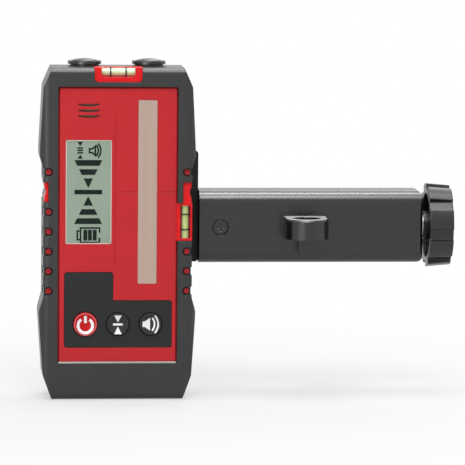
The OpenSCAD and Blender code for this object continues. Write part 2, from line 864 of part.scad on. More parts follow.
// Rear half of the case, with the battery bay and the pad for the mount plate
module rear_shell() {
    tub_x = bay_w / 2 + tub_wall;
    recess_x = door_x + slack;
    pin_x = door_x + hinge_pin_len + slack;
    color([0.16, 0.16, 0.17])
    difference() {
        union() {
            difference() {
                union() {
                    rounded_plate(-case_x, case_x, case_z0, case_z1, case_r, 0, skin_y);
                    rounded_plate(-pad_x, pad_x, pad_z0, pad_z1, case_r, skin_y, rear_y);
                }
                slab(-case_x + wall, case_x - wall, -over, skin_inner, case_z0 + wall, case_z1 - wall);
            }
            slab(-tub_x, tub_x, bay_y - tub_wall, skin_y, bay_z0 - tub_wall, bay_z1 + tub_wall);
            slab(-pin_x - tub_wall, pin_x + tub_wall, hinge_y - 2 * barrel_r - slack, skin_y,
                case_z0 + wall / 2, bay_z0);
            for (x = [-case_screw_x, case_screw_x], z = [case_screw_z0, case_screw_z1])
                bar_y(x, z, 2 * case_boss_r, 0, skin_y);
            bar_y(0, thumb_z, insert_d + 2 * wall, rear_y - insert_len - wall, skin_y);
        }
        slab(-bay_w / 2, bay_w / 2, bay_y, rear_y + over, bay_z0, bay_z1);
        slab(-recess_x, recess_x, door_floor, rear_y + over, hinge_z, door_z1 + slack);
        slab(-recess_x, recess_x, skin_y, rear_y + over, pad_z0 - over, hinge_z + over);
        bar_x(hinge_y, hinge_z, 2 * barrel_r + 2 * slack, -recess_x, recess_x);
        bar_x(hinge_y, hinge_z, hinge_pin_d + 2 * fit, -pin_x, pin_x);
        for (x = [-case_screw_x, case_screw_x], z = [case_screw_z0, case_screw_z1]) {
            bar_y(x, z, case_screw_d + 2 * slack, -over, rear_y);
            bar_y(x, z, case_head_d + 2 * slack, case_head_y, rear_y + over);
        }
        bar_y(0, thumb_z, insert_d + 2 * seat, rear_y - insert_len, rear_y + over);
        bar_y(0, thumb_z, thumb_d + 2 * slack, rear_y - insert_len - wall - over, rear_y);
        for (x = [-peg_gap / 2, peg_gap / 2])
            bar_y(x, peg_z, peg_d + 2 * fit, rear_y - peg_len - slack, rear_y + over);
        shell_seal_form(0);
    }
}

// Ring of the shell seal in the middle of the case wall
module shell_seal_form(gap) {
    mid = wall / 2;
    out = mid - seal_w / 2 + gap;
    in = mid + seal_w / 2 - gap;
    difference() {
        rounded_plate(-case_x + out, case_x - out, case_z0 + out, case_z1 - out, case_r - out,
            0, seal_d);
        rounded_plate(-case_x + in, case_x - in, case_z0 + in, case_z1 - in, max(case_r - in, gap + seat),
            -over, seal_d + over);
    }
}

module shell_seal() {
    color([0.08, 0.08, 0.08])
        shell_seal_form(seat);
}

module case_screws() {
    color([0.7, 0.7, 0.72])
    for (x = [-case_screw_x, case_screw_x], z = [case_screw_z0, case_screw_z1]) {
        bar_y(x, z, case_screw_d, case_screw_end + seat, case_head_y);
        difference() {
            bar_y(x, z, case_head_d, case_head_y, case_head_y + case_head_t);
            translate([x, 0, z])
                cross_recess(case_head_d, case_head_y + case_head_t / 2, case_head_y + case_head_t + over);
        }
    }
}

// Cross recess of a screw head of a given diameter
module cross_recess(d, y0, y1) {
    blade = d / 6;
    reach = d / 3.4;
    slab(-reach, reach, y0, y1, -blade / 2, blade / 2);
    slab(-blade / 2, blade / 2, y0, y1, -reach, reach);
}

module lcd_lens() {
    color([0.75, 0.8, 0.76])
        lens(lcd_x, grade_z, lcd_w, lcd_h);
}

// Plate behind the display window, a little larger than its opening
module lcd_layer(y0, y1) {
    x = lcd_w / 2 + lcd_lap;
    z = lcd_h / 2 + lcd_lap;
    slab(lcd_x - x, lcd_x + x, y0, y1, grade_z - z, grade_z + z);
}

module lcd_glass() {
    color([0.55, 0.63, 0.57])
        lcd_layer(panel_back, panel_back + glass_t);
}

module lcd_backlight() {
    color([0.9, 0.9, 0.86])
        lcd_layer(panel_back + glass_t, board_y);
}

module detector_window() {
    color([0.72, 0.65, 0.58])
        lens(detector_x, grade_z, detector_w, detector_h);
}

module detector_board() {
    color([0.1, 0.35, 0.2])
        slab(detector_x - detector_board_x, detector_x + detector_board_x,
            detector_board_y, detector_board_back, detector_z0 - over, detector_z1 + over);
}

// Row of photodiodes behind the detector window
module photodiodes() {
    pitch = (detector_h - 2 * ledge) / diode_count;
    half_w = detector_w / 2 - ledge - slack;
    color([0.1, 0.1, 0.12])
    for (i = [0 : diode_count - 1])
        translate([detector_x, 0, detector_z0 + ledge + (i + 0.5) * pitch])
            slab(-half_w, half_w, panel_back + slack, detector_board_y, -diode_h / 2, diode_h / 2);
}

module keypad_panel() {
    color([0.14, 0.14, 0.15])
    difference() {
        plate(panel_y + keypad_sink, panel_y + keypad_t)
            keypad_outline(seat);
        for (i = [0 : 2])
            at_button(i)
                bar_y(0, 0, cap_of(i) + 2 * slack, panel_y - over, panel_back);
    }
}

// Button cap with its flange behind the panel and its stem towards the switch
module button(i) {
    at_button(i) {
        bar_y(0, 0, cap_of(i), panel_y - button_proud, flange_front);
        bar_y(0, 0, cap_of(i) + 2 * slack + 2 * button_rim, flange_front, flange_front + button_flange);
        bar_y(0, 0, button_d / 3, flange_front + button_flange, stem_end);
    }
}

module power_button() {
    color([0.8, 0.1, 0.12])
        button(0);
}

module band_button() {
    color([0.1, 0.1, 0.11])
        button(1);
}

module sound_button() {
    color([0.1, 0.1, 0.11])
        button(2);
}

module main_board() {
    color([0.1, 0.35, 0.2])
    difference() {
        slab(-board_x, board_x, board_y, board_back, board_z0, board_z1);
        for (x = [-board_screw_x, board_screw_x], z = [board_z0, board_z1 - 2 * board_screw_in])
            bar_y(x, z + board_screw_in, board_screw_d + 2 * slack, board_y - over, board_back + over);
    }
}

module board_screws() {
    color([0.7, 0.7, 0.72])
    for (x = [-board_screw_x, board_screw_x], z = [board_z0, board_z1 - 2 * board_screw_in])
        translate([x, 0, z + board_screw_in])
            difference() {
                union() {
                    bar_y(0, 0, board_screw_d, panel_back + seat, board_back);
                    bar_y(0, 0, 2 * board_screw_d, board_back, board_back + board_head_t);
                }
                cross_recess(2 * board_screw_d, board_back + board_head_t / 2, board_back + 2 * board_head_t);
            }
}

// Switch under each button: a square base with a round plunger
module tact_switches() {
    half = 3;
    plunger_d = 3.4;
    base_y = (switch_y + board_y) / 2;
    color([0.6, 0.6, 0.62])
    for (i = [0 : 2])
        at_button(i) {
            slab(-half, half, base_y, board_y, -half, half);
            bar_y(0, 0, plunger_d, switch_y, base_y);
        }
}

// Chips on the back of the main board and the headers under the detector board
module board_components() {
    color([0.12, 0.12, 0.13])
    for (i = [-1 : 1])
        translate([0, 0, grade_z + i * chip_pitch])
            slab(-chip_w / 2, chip_w / 2, board_back, board_back + chip_t, -chip_h / 2, chip_h / 2);
    color([0.12, 0.12, 0.13])
    for (z = [detector_z0 + ledge, detector_z1 - ledge - header_h])
        slab(detector_x - detector_w / 2, detector_x + detector_w / 2, detector_board_back, board_y,
            z, z + header_h);
}

module sounder() {
    color([0.1, 0.1, 0.1])
    difference() {
        bar_y(lcd_x, sounder_z, sounder_d, panel_back + mesh_t + seat, board_y);
        bar_y(lcd_x, sounder_z, sounder_d / 5, panel_back, board_y - over);
    }
}

module sounder_mesh() {
    color([0.05, 0.05, 0.05])
        bar_y(lcd_x, sounder_z, sounder_d + 2 * slack, panel_back, panel_back + mesh_t);
}

// Battery door: a plate on a hinge barrel with a pin at each end
module battery_door() {
    pin_x = door_x + hinge_pin_len;
    rib_pitch = 2.4;
    rib_depth = 0.4;
    color([0.16, 0.16, 0.17])
    difference() {
        union() {
            slab(-door_x, door_x, skin_y, skin_y + door_t, hinge_z, door_z1);
            bar_x(hinge_y, hinge_z, 2 * barrel_r, -door_x, door_x);
            bar_x(hinge_y, hinge_z, hinge_pin_d, -pin_x, pin_x);
        }
        for (i = [1 : 5])
            slab(-door_x / 2, door_x / 2, skin_y + door_t - rib_depth, skin_y + door_t + over,
                door_z1 - i * rib_pitch - rib_pitch / 2, door_z1 - i * rib_pitch);
    }
}

// Ring under the edge of the battery door
module door_seal() {
    in = seat * 2;
    out = in + bay_land - 4 * seat;
    color([0.08, 0.08, 0.08])
    difference() {
        slab(-bay_w / 2 - out, bay_w / 2 + out, door_floor, door_floor + door_seal_t,
            bay_z0 - out, bay_z1 + out);
        slab(-bay_w / 2 - in, bay_w / 2 + in, door_floor - over, door_floor + over,
            bay_z0 - in, bay_z1 + in);
    }
}

// Two cells side by side, one of them upside down
module cells() {
    nub_d = 5.4;
    length = cell_len + nub_len;
    color([0.75, 0.6, 0.3])
    for (side = [-1, 1])
        translate([side * cell_x, cell_y, cell_z + length / 2])
            rotate([side > 0 ? 0 : 180, 0, 0]) {
                translate([0, 0, -length / 2])
                    cylinder(d = cell_d, h = cell_len);
                translate([0, 0, cell_len - length / 2])
                    cylinder(d = nub_d, h = nub_len);
            }
}

// Contact sheets at both ends of each cell, with a button against the cell
module cell_contacts() {
    half = cell_d / 3;
    tip_d = 4.6;
    color([0.8, 0.75, 0.6])
    for (x = [-cell_x, cell_x]) {
        slab(x - half, x + half, cell_y - half, cell_y + half, bay_z0, bay_z0 + contact_t);
        bar_z(x, cell_y, tip_d, bay_z0 + contact_t, bay_z0 + contact_room);
        slab(x - half, x + half, cell_y - half, cell_y + half, bay_z1 - contact_t, bay_z1);
        bar_z(x, cell_y, tip_d, bay_z1 - contact_room, bay_z1 - contact_t);
    }
}

// Top cradle, open above and before the vial
module top_cradle() {
    trough_d = top_vial_d + 2 * ring_t + 2 * seat;
    half_len = top_vial_len / 2 + seat;
    cradle_z = body_h + cradle_proud;
    color([0.8, 0.13, 0.16])
    difference() {
        union() {
            slab(-cradle_w / 2, cradle_w / 2, flange_y - seat, cradle_y + cradle_d, case_z1, cradle_z);
            rounded_plate(-cradle_w / 2, cradle_w / 2, case_z1 - cradle_skirt, cradle_z + cradle_r,
                cradle_r, cradle_y, flange_y - seat);
        }
        slab(-cradle_w, cradle_w, cradle_y - over, flange_y, cradle_z, cradle_z + cradle_r + over);
        bar_x(top_vial_y, top_vial_z, trough_d, -half_len, half_len);
        slab(-half_len, half_len, top_vial_y - trough_d / 2, top_vial_y + trough_d / 2,
            top_vial_z, body_h + over);
        rounded_plate(-half_len, half_len, case_z1 + cradle_sill, cradle_z + window_r + over, window_r,
            cradle_y - over, top_vial_y);
    }
}

// Tube of a vial along Z, on its own axis
module vial_tube(d, length) {
    difference() {
        cylinder(d = d, h = length);
        translate([0, 0, -over])
            cylinder(d = d - 2 * vial_wall, h = length + 2 * over);
    }
}

// Spirit in a vial along Z, on the vial's own axis
module vial_fill(d, length) {
    translate([0, 0, seat])
        cylinder(d = d - 2 * vial_wall - 2 * seat, h = length - 2 * seat);
}

// Places along the two vials' axes
module at_top_vial() {
    translate([-top_vial_len / 2, top_vial_y, top_vial_z])
        rotate([0, 90, 0])
            children();
}

module at_side_vial() {
    translate([side_vial_x, side_vial_y, side_vial_z0])
        children();
}

module top_vial() {
    color([0.85, 0.88, 0.7])
        at_top_vial()
            vial_tube(top_vial_d, top_vial_len);
}

module top_spirit() {
    color([0.8, 0.88, 0.4])
        at_top_vial()
            vial_fill(top_vial_d, top_vial_len);
}

// Side cradle with the vial before the grip and the on-grade notch above it
module side_cradle() {
    trough_d = side_vial_d + 2 * ring_t + 2 * seat;
    color([0.8, 0.13, 0.16])
    difference() {
        union() {
            slab(case_x + seat, waist_x, panel_y, side_y1, side_z0, side_z1);
            slab(panel_w / 2 + 2 * seat, waist_x, panel_y, flange_y, side_z0, side_z1);
            slab(tab_x, mark_face, panel_y, side_y1, side_z1, mark_z1);
        }
        bar_z(side_vial_x, side_vial_y, trough_d, side_vial_z0 - seat, side_vial_z0 + side_vial_len + seat);
        slab(side_vial_x - trough_d / 2, side_vial_x + trough_d / 2, panel_y - over, side_vial_y,
            side_vial_z0 - seat, side_vial_z0 + side_vial_len + seat);
        grade_notch();
    }
}

// V notch at the on-grade line, through the outer edge of a mark and the rubber behind it
module grade_notch() {
    flank = notch_h / 2 * (1 + over / notch_d);
    plate(front_y - over, bumper_y + over)
        polygon([
            [mark_face - notch_d, grade_z],
            [mark_face + over, grade_z + flank],
            [mark_face + over, grade_z - flank]
        ]);
}

module side_vial() {
    color([0.8, 0.85, 0.55])
        at_side_vial()
            vial_tube(side_vial_d, side_vial_len);
}

module side_spirit() {
    color([0.65, 0.75, 0.3])
        at_side_vial()
            vial_fill(side_vial_d, side_vial_len);
}

// Pair of rings round a vial along Z
module ring_pair(d, length, gap) {
    for (side = [-1, 1])
        translate([0, 0, length / 2 + side * gap / 2 - ring_w / 2])
            difference() {
                cylinder(d = d + 2 * ring_t, h = ring_w);
                translate([0, 0, -over])
                    cylinder(d = d, h = ring_w + 2 * over);
            }
}

module vial_rings() {
    color([0.05, 0.05, 0.05]) {
        at_top_vial()
            ring_pair(top_vial_d, top_vial_len, top_ring_gap);
        at_side_vial()
            ring_pair(side_vial_d, side_vial_len, side_ring_gap);
    }
}

module left_mark() {
    color([0.8, 0.13, 0.16])
        mirror([1, 0, 0])
            difference() {
                slab(mark_x, mark_face, panel_y, side_y1, mark_z0, mark_z1);
                grade_notch();
            }
}

// Cups that hold the magnets in the head
module magnet_cups() {
    rim_z = body_h + cup_lift;
    color([0.08, 0.08, 0.09])
    for (x = [-magnet_gap / 2, magnet_gap / 2])
        difference() {
            union() {
                bar_z(x, magnet_back, cup_neck_d, case_z1 + seat, rim_z);
                bar_z(x, magnet_back, cup_rim_d, rim_z, rim_z + cup_rim_t);
            }
            bar_z(x, magnet_back, magnet_d + 2 * seat, magnet_seat_z, rim_z + 2 * cup_rim_t);
        }
}

// Magnets with a domed face
module magnets() {
    dome_r = (magnet_d * magnet_d / 4 + dome_h * dome_h) / (2 * dome_h);
    color([0.7, 0.7, 0.72])
    for (x = [-magnet_gap / 2, magnet_gap / 2])
        intersection() {
            bar_z(x, magnet_back, magnet_d, magnet_seat_z, magnet_top);
            translate([x, magnet_back, magnet_top - dome_r])
                sphere(dome_r, $fn = 120);
        }
}

// Brass insert in the rear pad that takes the thumb screw
module threaded_insert() {
    color([0.78, 0.62, 0.3])
    difference() {
        bar_y(0, thumb_z, insert_d, rear_y - insert_len, rear_y);
        bar_y(0, thumb_z, thumb_d + 2 * fit, rear_y - insert_len - over, rear_y + over);
    }
}

// Plate behind the receiver, with pegs into the rear pad and a tongue into the arm
module mount_plate() {
    plate_r = 1.5;
    color([0.13, 0.13, 0.14])
    difference() {
        union() {
            rounded_plate(-plate_left, plate_right, plate_z0, plate_z1, plate_r, rear_y, plate_y);
            rounded_plate(plate_right - wing_w, plate_right, axis_z - arm_h / 2, plate_z1, plate_r,
                rear_y, plate_y);
            for (x = [-peg_gap / 2, peg_gap / 2])
                bar_y(x, peg_z, peg_d, rear_y - peg_len, rear_y + over);
            slab(plate_right - tongue_root, arm_x0 + tongue_len, rear_y, tongue_y1,
                axis_z - tongue_h / 2, axis_z + tongue_h / 2);
            slab(arm_x0, arm_x0 + tongue_len, tongue_y0, rear_y,
                axis_z - tongue_h / 2, axis_z + tongue_h / 2);
        }
        bar_y(0, thumb_z, washer_d + 2 * slack, rear_y - over, plate_y - plate_web);
        bar_y(0, thumb_z, thumb_d + 2 * slack, rear_y, plate_y + over);
        bar_y(arm_screw_x, axis_z, arm_screw_d + 2 * fit, tongue_y0 - over, tongue_y0 + arm_screw_len);
    }
}

module arm_screw() {
    head_y = arm_y0 + arm_head_sink;
    color([0.2, 0.2, 0.21])
    translate([arm_screw_x, 0, axis_z])
        difference() {
            union() {
                bar_y(0, 0, arm_head_d, head_y, head_y + arm_head_t);
                bar_y(0, 0, arm_screw_d, head_y + arm_head_t, tongue_y0 + arm_screw_len - seat);
            }
            cross_recess(arm_head_d, head_y - over, head_y + arm_head_t / 2);
        }
}

// Ring in the thumb screw's groove that keeps the screw in the plate
module captive_washer() {
    color([0.85, 0.85, 0.82])
    difference() {
        bar_y(0, thumb_z, washer_d, washer_y, washer_y + washer_t);
        bar_y(0, thumb_z, groove_d + 2 * fit, washer_y - over, washer_y + washer_t + over);
    }
}

module thumb_screw() {
    head_y = plate_y + slack;
    flutes = 12;
    thumb_flute = 1.2;
    thumb_flute_w = 3;
    color([0.1, 0.1, 0.11]) {
        difference() {
            bar_y(0, thumb_z, thumb_d, rear_y - insert_len + slack, head_y);
            difference() {
                bar_y(0, thumb_z, thumb_d + over, washer_y - fit, washer_y + washer_t + fit);
                bar_y(0, thumb_z, groove_d, washer_y - over, washer_y + washer_t + over);
            }
        }
        translate([0, 0, thumb_z])
            plate(head_y, head_y + thumb_knob_t)
                lobed(thumb_knob_d, flutes, thumb_flute, thumb_flute_w);
    }
}

// Outer form of the arm: a bar with round long edges and a rounded right end
module arm_form() {
    intersection() {
        rotate([90, 0, 90])
            translate([0, 0, arm_x0])
                linear_extrude(arm_len)
                    rounded(arm_y0, arm_y1, axis_z - arm_h / 2, axis_z + arm_h / 2, arm_r);
        rounded_plate(arm_x0 - 2 * arm_end_r, arm_x1, axis_z - arm_h / 2, axis_z + arm_h / 2, arm_end_r,
            arm_y0, arm_y1);
        translate([0, 0, axis_z - arm_h / 2])
            linear_extrude(arm_h)
                rounded(arm_x0 - 2 * arm_nose_r, arm_x1, arm_y0, arm_y1, arm_nose_r);
    }
}

// Arm with the fixed jaw, the jaw channel and the round level's cup
module clamp_arm() {
    channel_z = arm_h / 2 - arm_wall;
    cup_r = level_cup_d / 2;
    color([0.13, 0.13, 0.14])
    difference() {
        union() {
            arm_form();
            slab(fixed_x, fixed_x + jaw_t, tongue_y1 + over, jaw_y1, axis_z - jaw_h / 2, axis_z + jaw_h / 2);
            bar_z(level_x, level_y, level_cup_d, level_z0, level_z1 - cup_bevel);
            translate([level_x, level_y, level_z1 - cup_bevel])
                cylinder(r1 = cup_r, r2 = cup_r - cup_bevel, h = cup_bevel);
            slab(level_x - cup_r, level_x + cup_r, level_y, arm_y0 + over, level_z0, level_z1);
            rounded_plate(level_x - rib_w / 2, level_x + rib_w / 2, level_z0 - rib_h, level_z0 + rib_r, rib_r,
                arm_y0 - rib_d, arm_y0 + over);
        }
        slab(arm_x0 - over, arm_x0 + tongue_len + seat, tongue_y0, tongue_y1 + seat,
            axis_z - tongue_h / 2 - seat, axis_z + tongue_h / 2 + seat);
        bar_x(axis_y, axis_z, clip_d + 2 * slack, arm_x0 + tongue_len, web_x);
        slab(channel_x0, channel_x1, tongue_y0, arm_y1 + over, axis_z - channel_z, axis_z + channel_z);
        bar_x(axis_y, axis_z, journal_d + 2 * fit, web_x - over, channel_x0 + over);
        bar_x(axis_y, axis_z, lead_d + 2 * fit, channel_x1 - over, arm_x1 + over);
        bar_y(arm_screw_x, axis_z, arm_screw_d + 2 * slack, arm_y0, tongue_y0 + over);
        bar_y(arm_screw_x, axis_z, arm_recess_d, arm_y0 - over,
            arm_y0 + arm_head_sink + arm_head_t);
        bar_z(level_x, level_y, level_d + 2 * seat, level_z0 + level_floor, level_z1 + over);
    }
}

// Lead screw: journal with a clip groove, long threaded part and thrust collar
module lead_screw() {
    journal_x0 = clip_x1 - clip_t - over;
    thread_x0 = channel_x0 + slack;
    color([0.68, 0.68, 0.7])
    difference() {
        union() {
            bar_x(axis_y, axis_z, journal_d, journal_x0, thread_x0);
            bar_x(axis_y, axis_z, lead_d, thread_x0, lead_end);
            bar_x(axis_y, axis_z, collar_d, collar_x1 - collar_t, collar_x1);
        }
        difference() {
            bar_x(axis_y, axis_z, journal_d + over, clip_x1 - clip_t - seat, clip_x1 + seat);
            bar_x(axis_y, axis_z, clip_groove_d, clip_x1 - clip_t - over, clip_x1 + over);
        }
    }
}

// Lobed knob, hollow round its collar towards the arm, with a seat for its cap
module clamp_knob() {
    collar_x0 = arm_x1 + thrust_t + slack;
    hollow_d = knob_d - 2 * flute_depth - 2 * knob_wall;
    color([0.1, 0.1, 0.11])
    difference() {
        union() {
            translate([knob_x0, axis_y, axis_z])
                rotate([90, 0, 90])
                    intersection() {
                        linear_extrude(knob_len)
                            rotate(-knob_phase)
                                lobed(knob_d, lobe_count, flute_depth, flute_w);
                        cylinder(d1 = knob_d, d2 = knob_d - knob_taper, h = knob_len);
                    }
            bar_x(axis_y, axis_z, collar_d, collar_x0, knob_x0);
        }
        difference() {
            bar_x(axis_y, axis_z, hollow_d, knob_x0 - over, knob_x0 + knob_hollow);
            bar_x(axis_y, axis_z, collar_d, collar_x0 - over, knob_x1);
        }
        bar_x(axis_y, axis_z, lead_d + 2 * seat, collar_x0 - over, lead_end + seat);
        bar_x(axis_y, axis_z, cap_d + 2 * seat, knob_x1 - cap_t, knob_x1 + over);
    }
}

module knob_cap() {
    color([0.13, 0.13, 0.14])
        bar_x(axis_y, axis_z, cap_d, knob_x1 - cap_t, knob_x1);
}

module thrust_washer() {
    color([0.7, 0.7, 0.72])
    difference() {
        bar_x(axis_y, axis_z, collar_d, arm_x1, arm_x1 + thrust_t);
        bar_x(axis_y, axis_z, lead_d + 2 * slack, arm_x1 - over, arm_x1 + thrust_t + over);
    }
}

module retaining_clip() {
    color([0.7, 0.7, 0.72])
    difference() {
        bar_x(axis_y, axis_z, clip_d, clip_x1 - clip_t, clip_x1);
        bar_x(axis_y, axis_z, clip_groove_d + 2 * seat, clip_x1 - clip_t - over, clip_x1 + over);
    }
}

module sliding_jaw() {
    color([0.13, 0.13, 0.14])
    difference() {
        slab(jaw_x, jaw_x + jaw_t, jaw_y0, jaw_y1, axis_z - jaw_h / 2, axis_z + jaw_h / 2);
        bar_x(axis_y, axis_z, nut_d + 2 * seat, jaw_x - over, jaw_x + jaw_t + over);
    }
}

// Flanged brass nut through the sliding jaw
module jaw_nut() {
    flange_d = nut_d + 4;
    color([0.78, 0.62, 0.3])
    difference() {
        union() {
            bar_x(axis_y, axis_z, nut_d, jaw_x, jaw_x + jaw_t);
            bar_x(axis_y, axis_z, flange_d, jaw_x + jaw_t, jaw_x + jaw_t + nut_flange);
        }
        bar_x(axis_y, axis_z, lead_d + 2 * fit, jaw_x - over, jaw_x + jaw_t + nut_flange + over);
    }
}

// Rubber pad on a jaw, from x0 to the right
module jaw_pad(x0) {
    slab(x0, x0 + pad_t, arm_y1 + pad_inset, jaw_y1 - pad_inset, axis_z - pad_h / 2, axis_z + pad_h / 2);
}

module fixed_pad() {
    color([0.07, 0.07, 0.07])
        jaw_pad(channel_x0 - pad_t);
}

module sliding_pad() {
    color([0.07, 0.07, 0.07])
        jaw_pad(jaw_x - pad_t);
}

// Round level: a clear cap over its spirit
module round_level() {
    z0 = level_z0 + level_floor;
    z1 = level_z1 - level_sink;
    color([0.8, 0.85, 0.8])
    difference() {
        bar_z(level_x, level_y, level_d, z0, z1);
        bar_z(level_x, level_y, level_d - 2 * level_wall, z0 - over, z1 - level_wall);
    }
}

module level_spirit() {
    color([0.65, 0.8, 0.35])
        bar_z(level_x, level_y, level_d - 2 * level_wall - 2 * seat, level_z0 + level_floor,
            level_z1 - level_sink - level_wall - seat);
}

bumper();
front_shell();
rear_shell();
shell_seal();
case_screws();
lcd_lens();
lcd_glass();
lcd_backlight();
detector_window();
detector_board();
photodiodes();
keypad_panel();
power_button();
band_button();
sound_button();
main_board();
board_screws();
tact_switches();
board_components();
sounder();
sounder_mesh();
battery_door();
door_seal();
cells();
cell_contacts();
top_cradle();
top_vial();
top_spirit();
side_cradle();
side_vial();
side_spirit();
vial_rings();
left_mark();
magnet_cups();
magnets();
threaded_insert();
mount_plate();
arm_screw();
captive_washer();
thumb_screw();
clamp_arm();
lead_screw();
clamp_knob();
knob_cap();
thrust_washer();
retaining_clip();
sliding_jaw();
jaw_nut();
fixed_pad();
sliding_pad();
round_level();
level_spirit();
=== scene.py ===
"""Looks of the laser receiver: materials, added detail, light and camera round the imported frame."""
import bmesh
import bpy
import math
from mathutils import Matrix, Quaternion, Vector


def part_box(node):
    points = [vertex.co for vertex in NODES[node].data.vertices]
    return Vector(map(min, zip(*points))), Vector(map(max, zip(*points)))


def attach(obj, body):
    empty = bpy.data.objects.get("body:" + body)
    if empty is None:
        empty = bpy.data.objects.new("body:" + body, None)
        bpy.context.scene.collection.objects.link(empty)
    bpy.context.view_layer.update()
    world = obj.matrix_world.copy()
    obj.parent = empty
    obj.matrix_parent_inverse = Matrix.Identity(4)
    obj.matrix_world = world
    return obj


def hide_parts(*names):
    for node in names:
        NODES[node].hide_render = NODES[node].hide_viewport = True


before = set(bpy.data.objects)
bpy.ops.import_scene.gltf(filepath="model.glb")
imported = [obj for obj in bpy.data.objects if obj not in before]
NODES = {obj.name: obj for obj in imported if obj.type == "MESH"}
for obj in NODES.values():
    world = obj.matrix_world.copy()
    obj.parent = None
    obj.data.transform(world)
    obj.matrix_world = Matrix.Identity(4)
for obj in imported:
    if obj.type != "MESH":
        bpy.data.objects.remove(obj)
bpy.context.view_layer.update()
# The added pieces are made in millimetres, and the frame is in metres.
MM = 0.001

# Most values of a noise texture lie between these two.
NOISE_LOW = 0.3
NOISE_HIGH = 0.7
MOTTLE_DETAIL = 3.0
GRAIN_DETAIL = 2.0
BUMP_STRENGTH = 0.6
EDGE_SAMPLES = 6


def noise_node(tree, coords, scale, detail):
    """Noise in object space, with scale in cycles per metre."""
    node = tree.nodes.new("ShaderNodeTexNoise")
    node.inputs["Scale"].default_value = scale
    node.inputs["Detail"].default_value = detail
    tree.links.new(coords, node.inputs["Vector"])
    return node


def ramp_node(tree, factor, stops):
    """Colour ramp over a factor, from (place, colour) stops."""
    node = tree.nodes.new("ShaderNodeValToRGB")
    ramp = node.color_ramp
    while len(ramp.elements) < len(stops):
        ramp.elements.new(0.5)
    for element, (place, colour) in zip(ramp.elements, stops):
        element.position = place
        element.color = (*colour, 1.0)
    tree.links.new(factor, node.inputs["Fac"])
    return node


def range_node(tree, factor, low, high):
    """Maps the usual values of a noise onto a range."""
    node = tree.nodes.new("ShaderNodeMapRange")
    node.inputs["From Min"].default_value = NOISE_LOW
    node.inputs["From Max"].default_value = NOISE_HIGH
    node.inputs["To Min"].default_value = low
    node.inputs["To Max"].default_value = high
    tree.links.new(factor, node.inputs["Value"])
    return node


def scaled(colour, factor):
    """Colour made lighter or darker."""
    return tuple(min(1.0, channel * factor) for channel in colour)


def finish_material(name, colour, rough, shift=0.1, rough_shift=0.05, mottle=60.0, grain=2500.0, depth=0.01,
                    edge=0.3, metal=0.0, specular=0.5, alpha=1.0, stretch=(1.0, 1.0, 1.0)):
    """Moulded or metal finish: broad mottle in colour, fine grain in gloss and as bump, softened edges.

    Depth and edge are in millimetres, mottle and grain in cycles per metre."""
    made = bpy.data.materials.new(name)
    made.use_nodes = True
    tree = made.node_tree
    shader = tree.nodes["Principled BSDF"]
    shader.inputs["Metallic"].default_value = metal
    shader.inputs["Specular IOR Level"].default_value = specular
    shader.inputs["Alpha"].default_value = alpha
    place = tree.nodes.new("ShaderNodeTexCoord").outputs["Object"]
    mapping = tree.nodes.new("ShaderNodeMapping")
    mapping.inputs["Scale"].default_value = stretch
    tree.links.new(place, mapping.inputs["Vector"])
    broad = noise_node(tree, mapping.outputs["Vector"], mottle, MOTTLE_DETAIL)
    fine = noise_node(tree, mapping.outputs["Vector"], grain, GRAIN_DETAIL)
    stops = [(NOISE_LOW, scaled(colour, 1 - shift)), (NOISE_HIGH, scaled(colour, 1 + shift))]
    tone = ramp_node(tree, broad.outputs["Fac"], stops)
    tree.links.new(tone.outputs["Color"], shader.inputs["Base Color"])
    gloss = range_node(tree, fine.outputs["Fac"], rough - rough_shift, rough + rough_shift)
    tree.links.new(gloss.outputs["Result"], shader.inputs["Roughness"])
    bump = tree.nodes.new("ShaderNodeBump")
    bump.inputs["Strength"].default_value = BUMP_STRENGTH
    bump.inputs["Distance"].default_value = depth * MM
    tree.links.new(fine.outputs["Fac"], bump.inputs["Height"])
    if edge:
        bevel = tree.nodes.new("ShaderNodeBevel")
        bevel.samples = EDGE_SAMPLES
        bevel.inputs["Radius"].default_value = edge * MM
        tree.links.new(bevel.outputs["Normal"], bump.inputs["Normal"])
    tree.links.new(bump.outputs["Normal"], shader.inputs["Normal"])
    return made


# Settings that several finishes share.
MOULDED = {"mottle": 70, "grain": 3500, "depth": 0.008}
MACHINED = {"metal": 1.0, "mottle": 150, "grain": 4000, "depth": 0.003}
PRINTED = {"depth": 0.002, "edge": 0.0}
CLEAR = {"depth": 0.001, "edge": 0.0}

RUBBER = finish_material("rubber_grey", (0.019, 0.02, 0.0205), 0.36, mottle=90, grain=3000, depth=0.02,
                         edge=0.5, specular=0.45)
SEAL_RUBBER = finish_material("rubber_black", (0.018, 0.018, 0.018), 0.6, depth=0.02)
RED = finish_material("red_plastic", (0.5, 0.013, 0.018), 0.42, shift=0.04, mottle=45, depth=0.006,
                      specular=0.3)
BRIGHT_RED = finish_material("red_bright", (0.7, 0.006, 0.009), 0.34, shift=0.05, depth=0.004, edge=0.5,
                             specular=0.25)
BLACK = finish_material("black_plastic", (0.003, 0.003, 0.003), 0.27, edge=0.4, specular=0.65, **MOULDED)
# Same black as the black plastic but with less gloss, so that the mount plate renders darker: painted shade
# for the gap between the body and the arm, where the plate sits in shadow.
SHADED_PLATE_BLACK = finish_material("plate_black_shaded", (0.003, 0.003, 0.003), 0.45, specular=0.32, **MOULDED)
KNOB_BLACK = finish_material("knob_black", (0.006, 0.006, 0.006), 0.3, edge=0.8, specular=0.55, **MOULDED)
# Pale grey that paints the bright highlight along the top edge of the round level's black cup.
RIM = finish_material("painted_rim_highlight", (0.36, 0.36, 0.36), 0.35, shift=0.08, mottle=200, depth=0.004, edge=0.2)
KEYPAD = finish_material("keypad_black", (0.009, 0.011, 0.01), 0.45, mottle=120, depth=0.006, specular=0.3)
BUTTON_RED = finish_material("button_red", (0.52, 0.009, 0.013), 0.36, shift=0.05, depth=0.004, specular=0.15)
BUTTON_BLACK = finish_material("button_black", (0.04, 0.04, 0.041), 0.4, depth=0.004, specular=0.06)
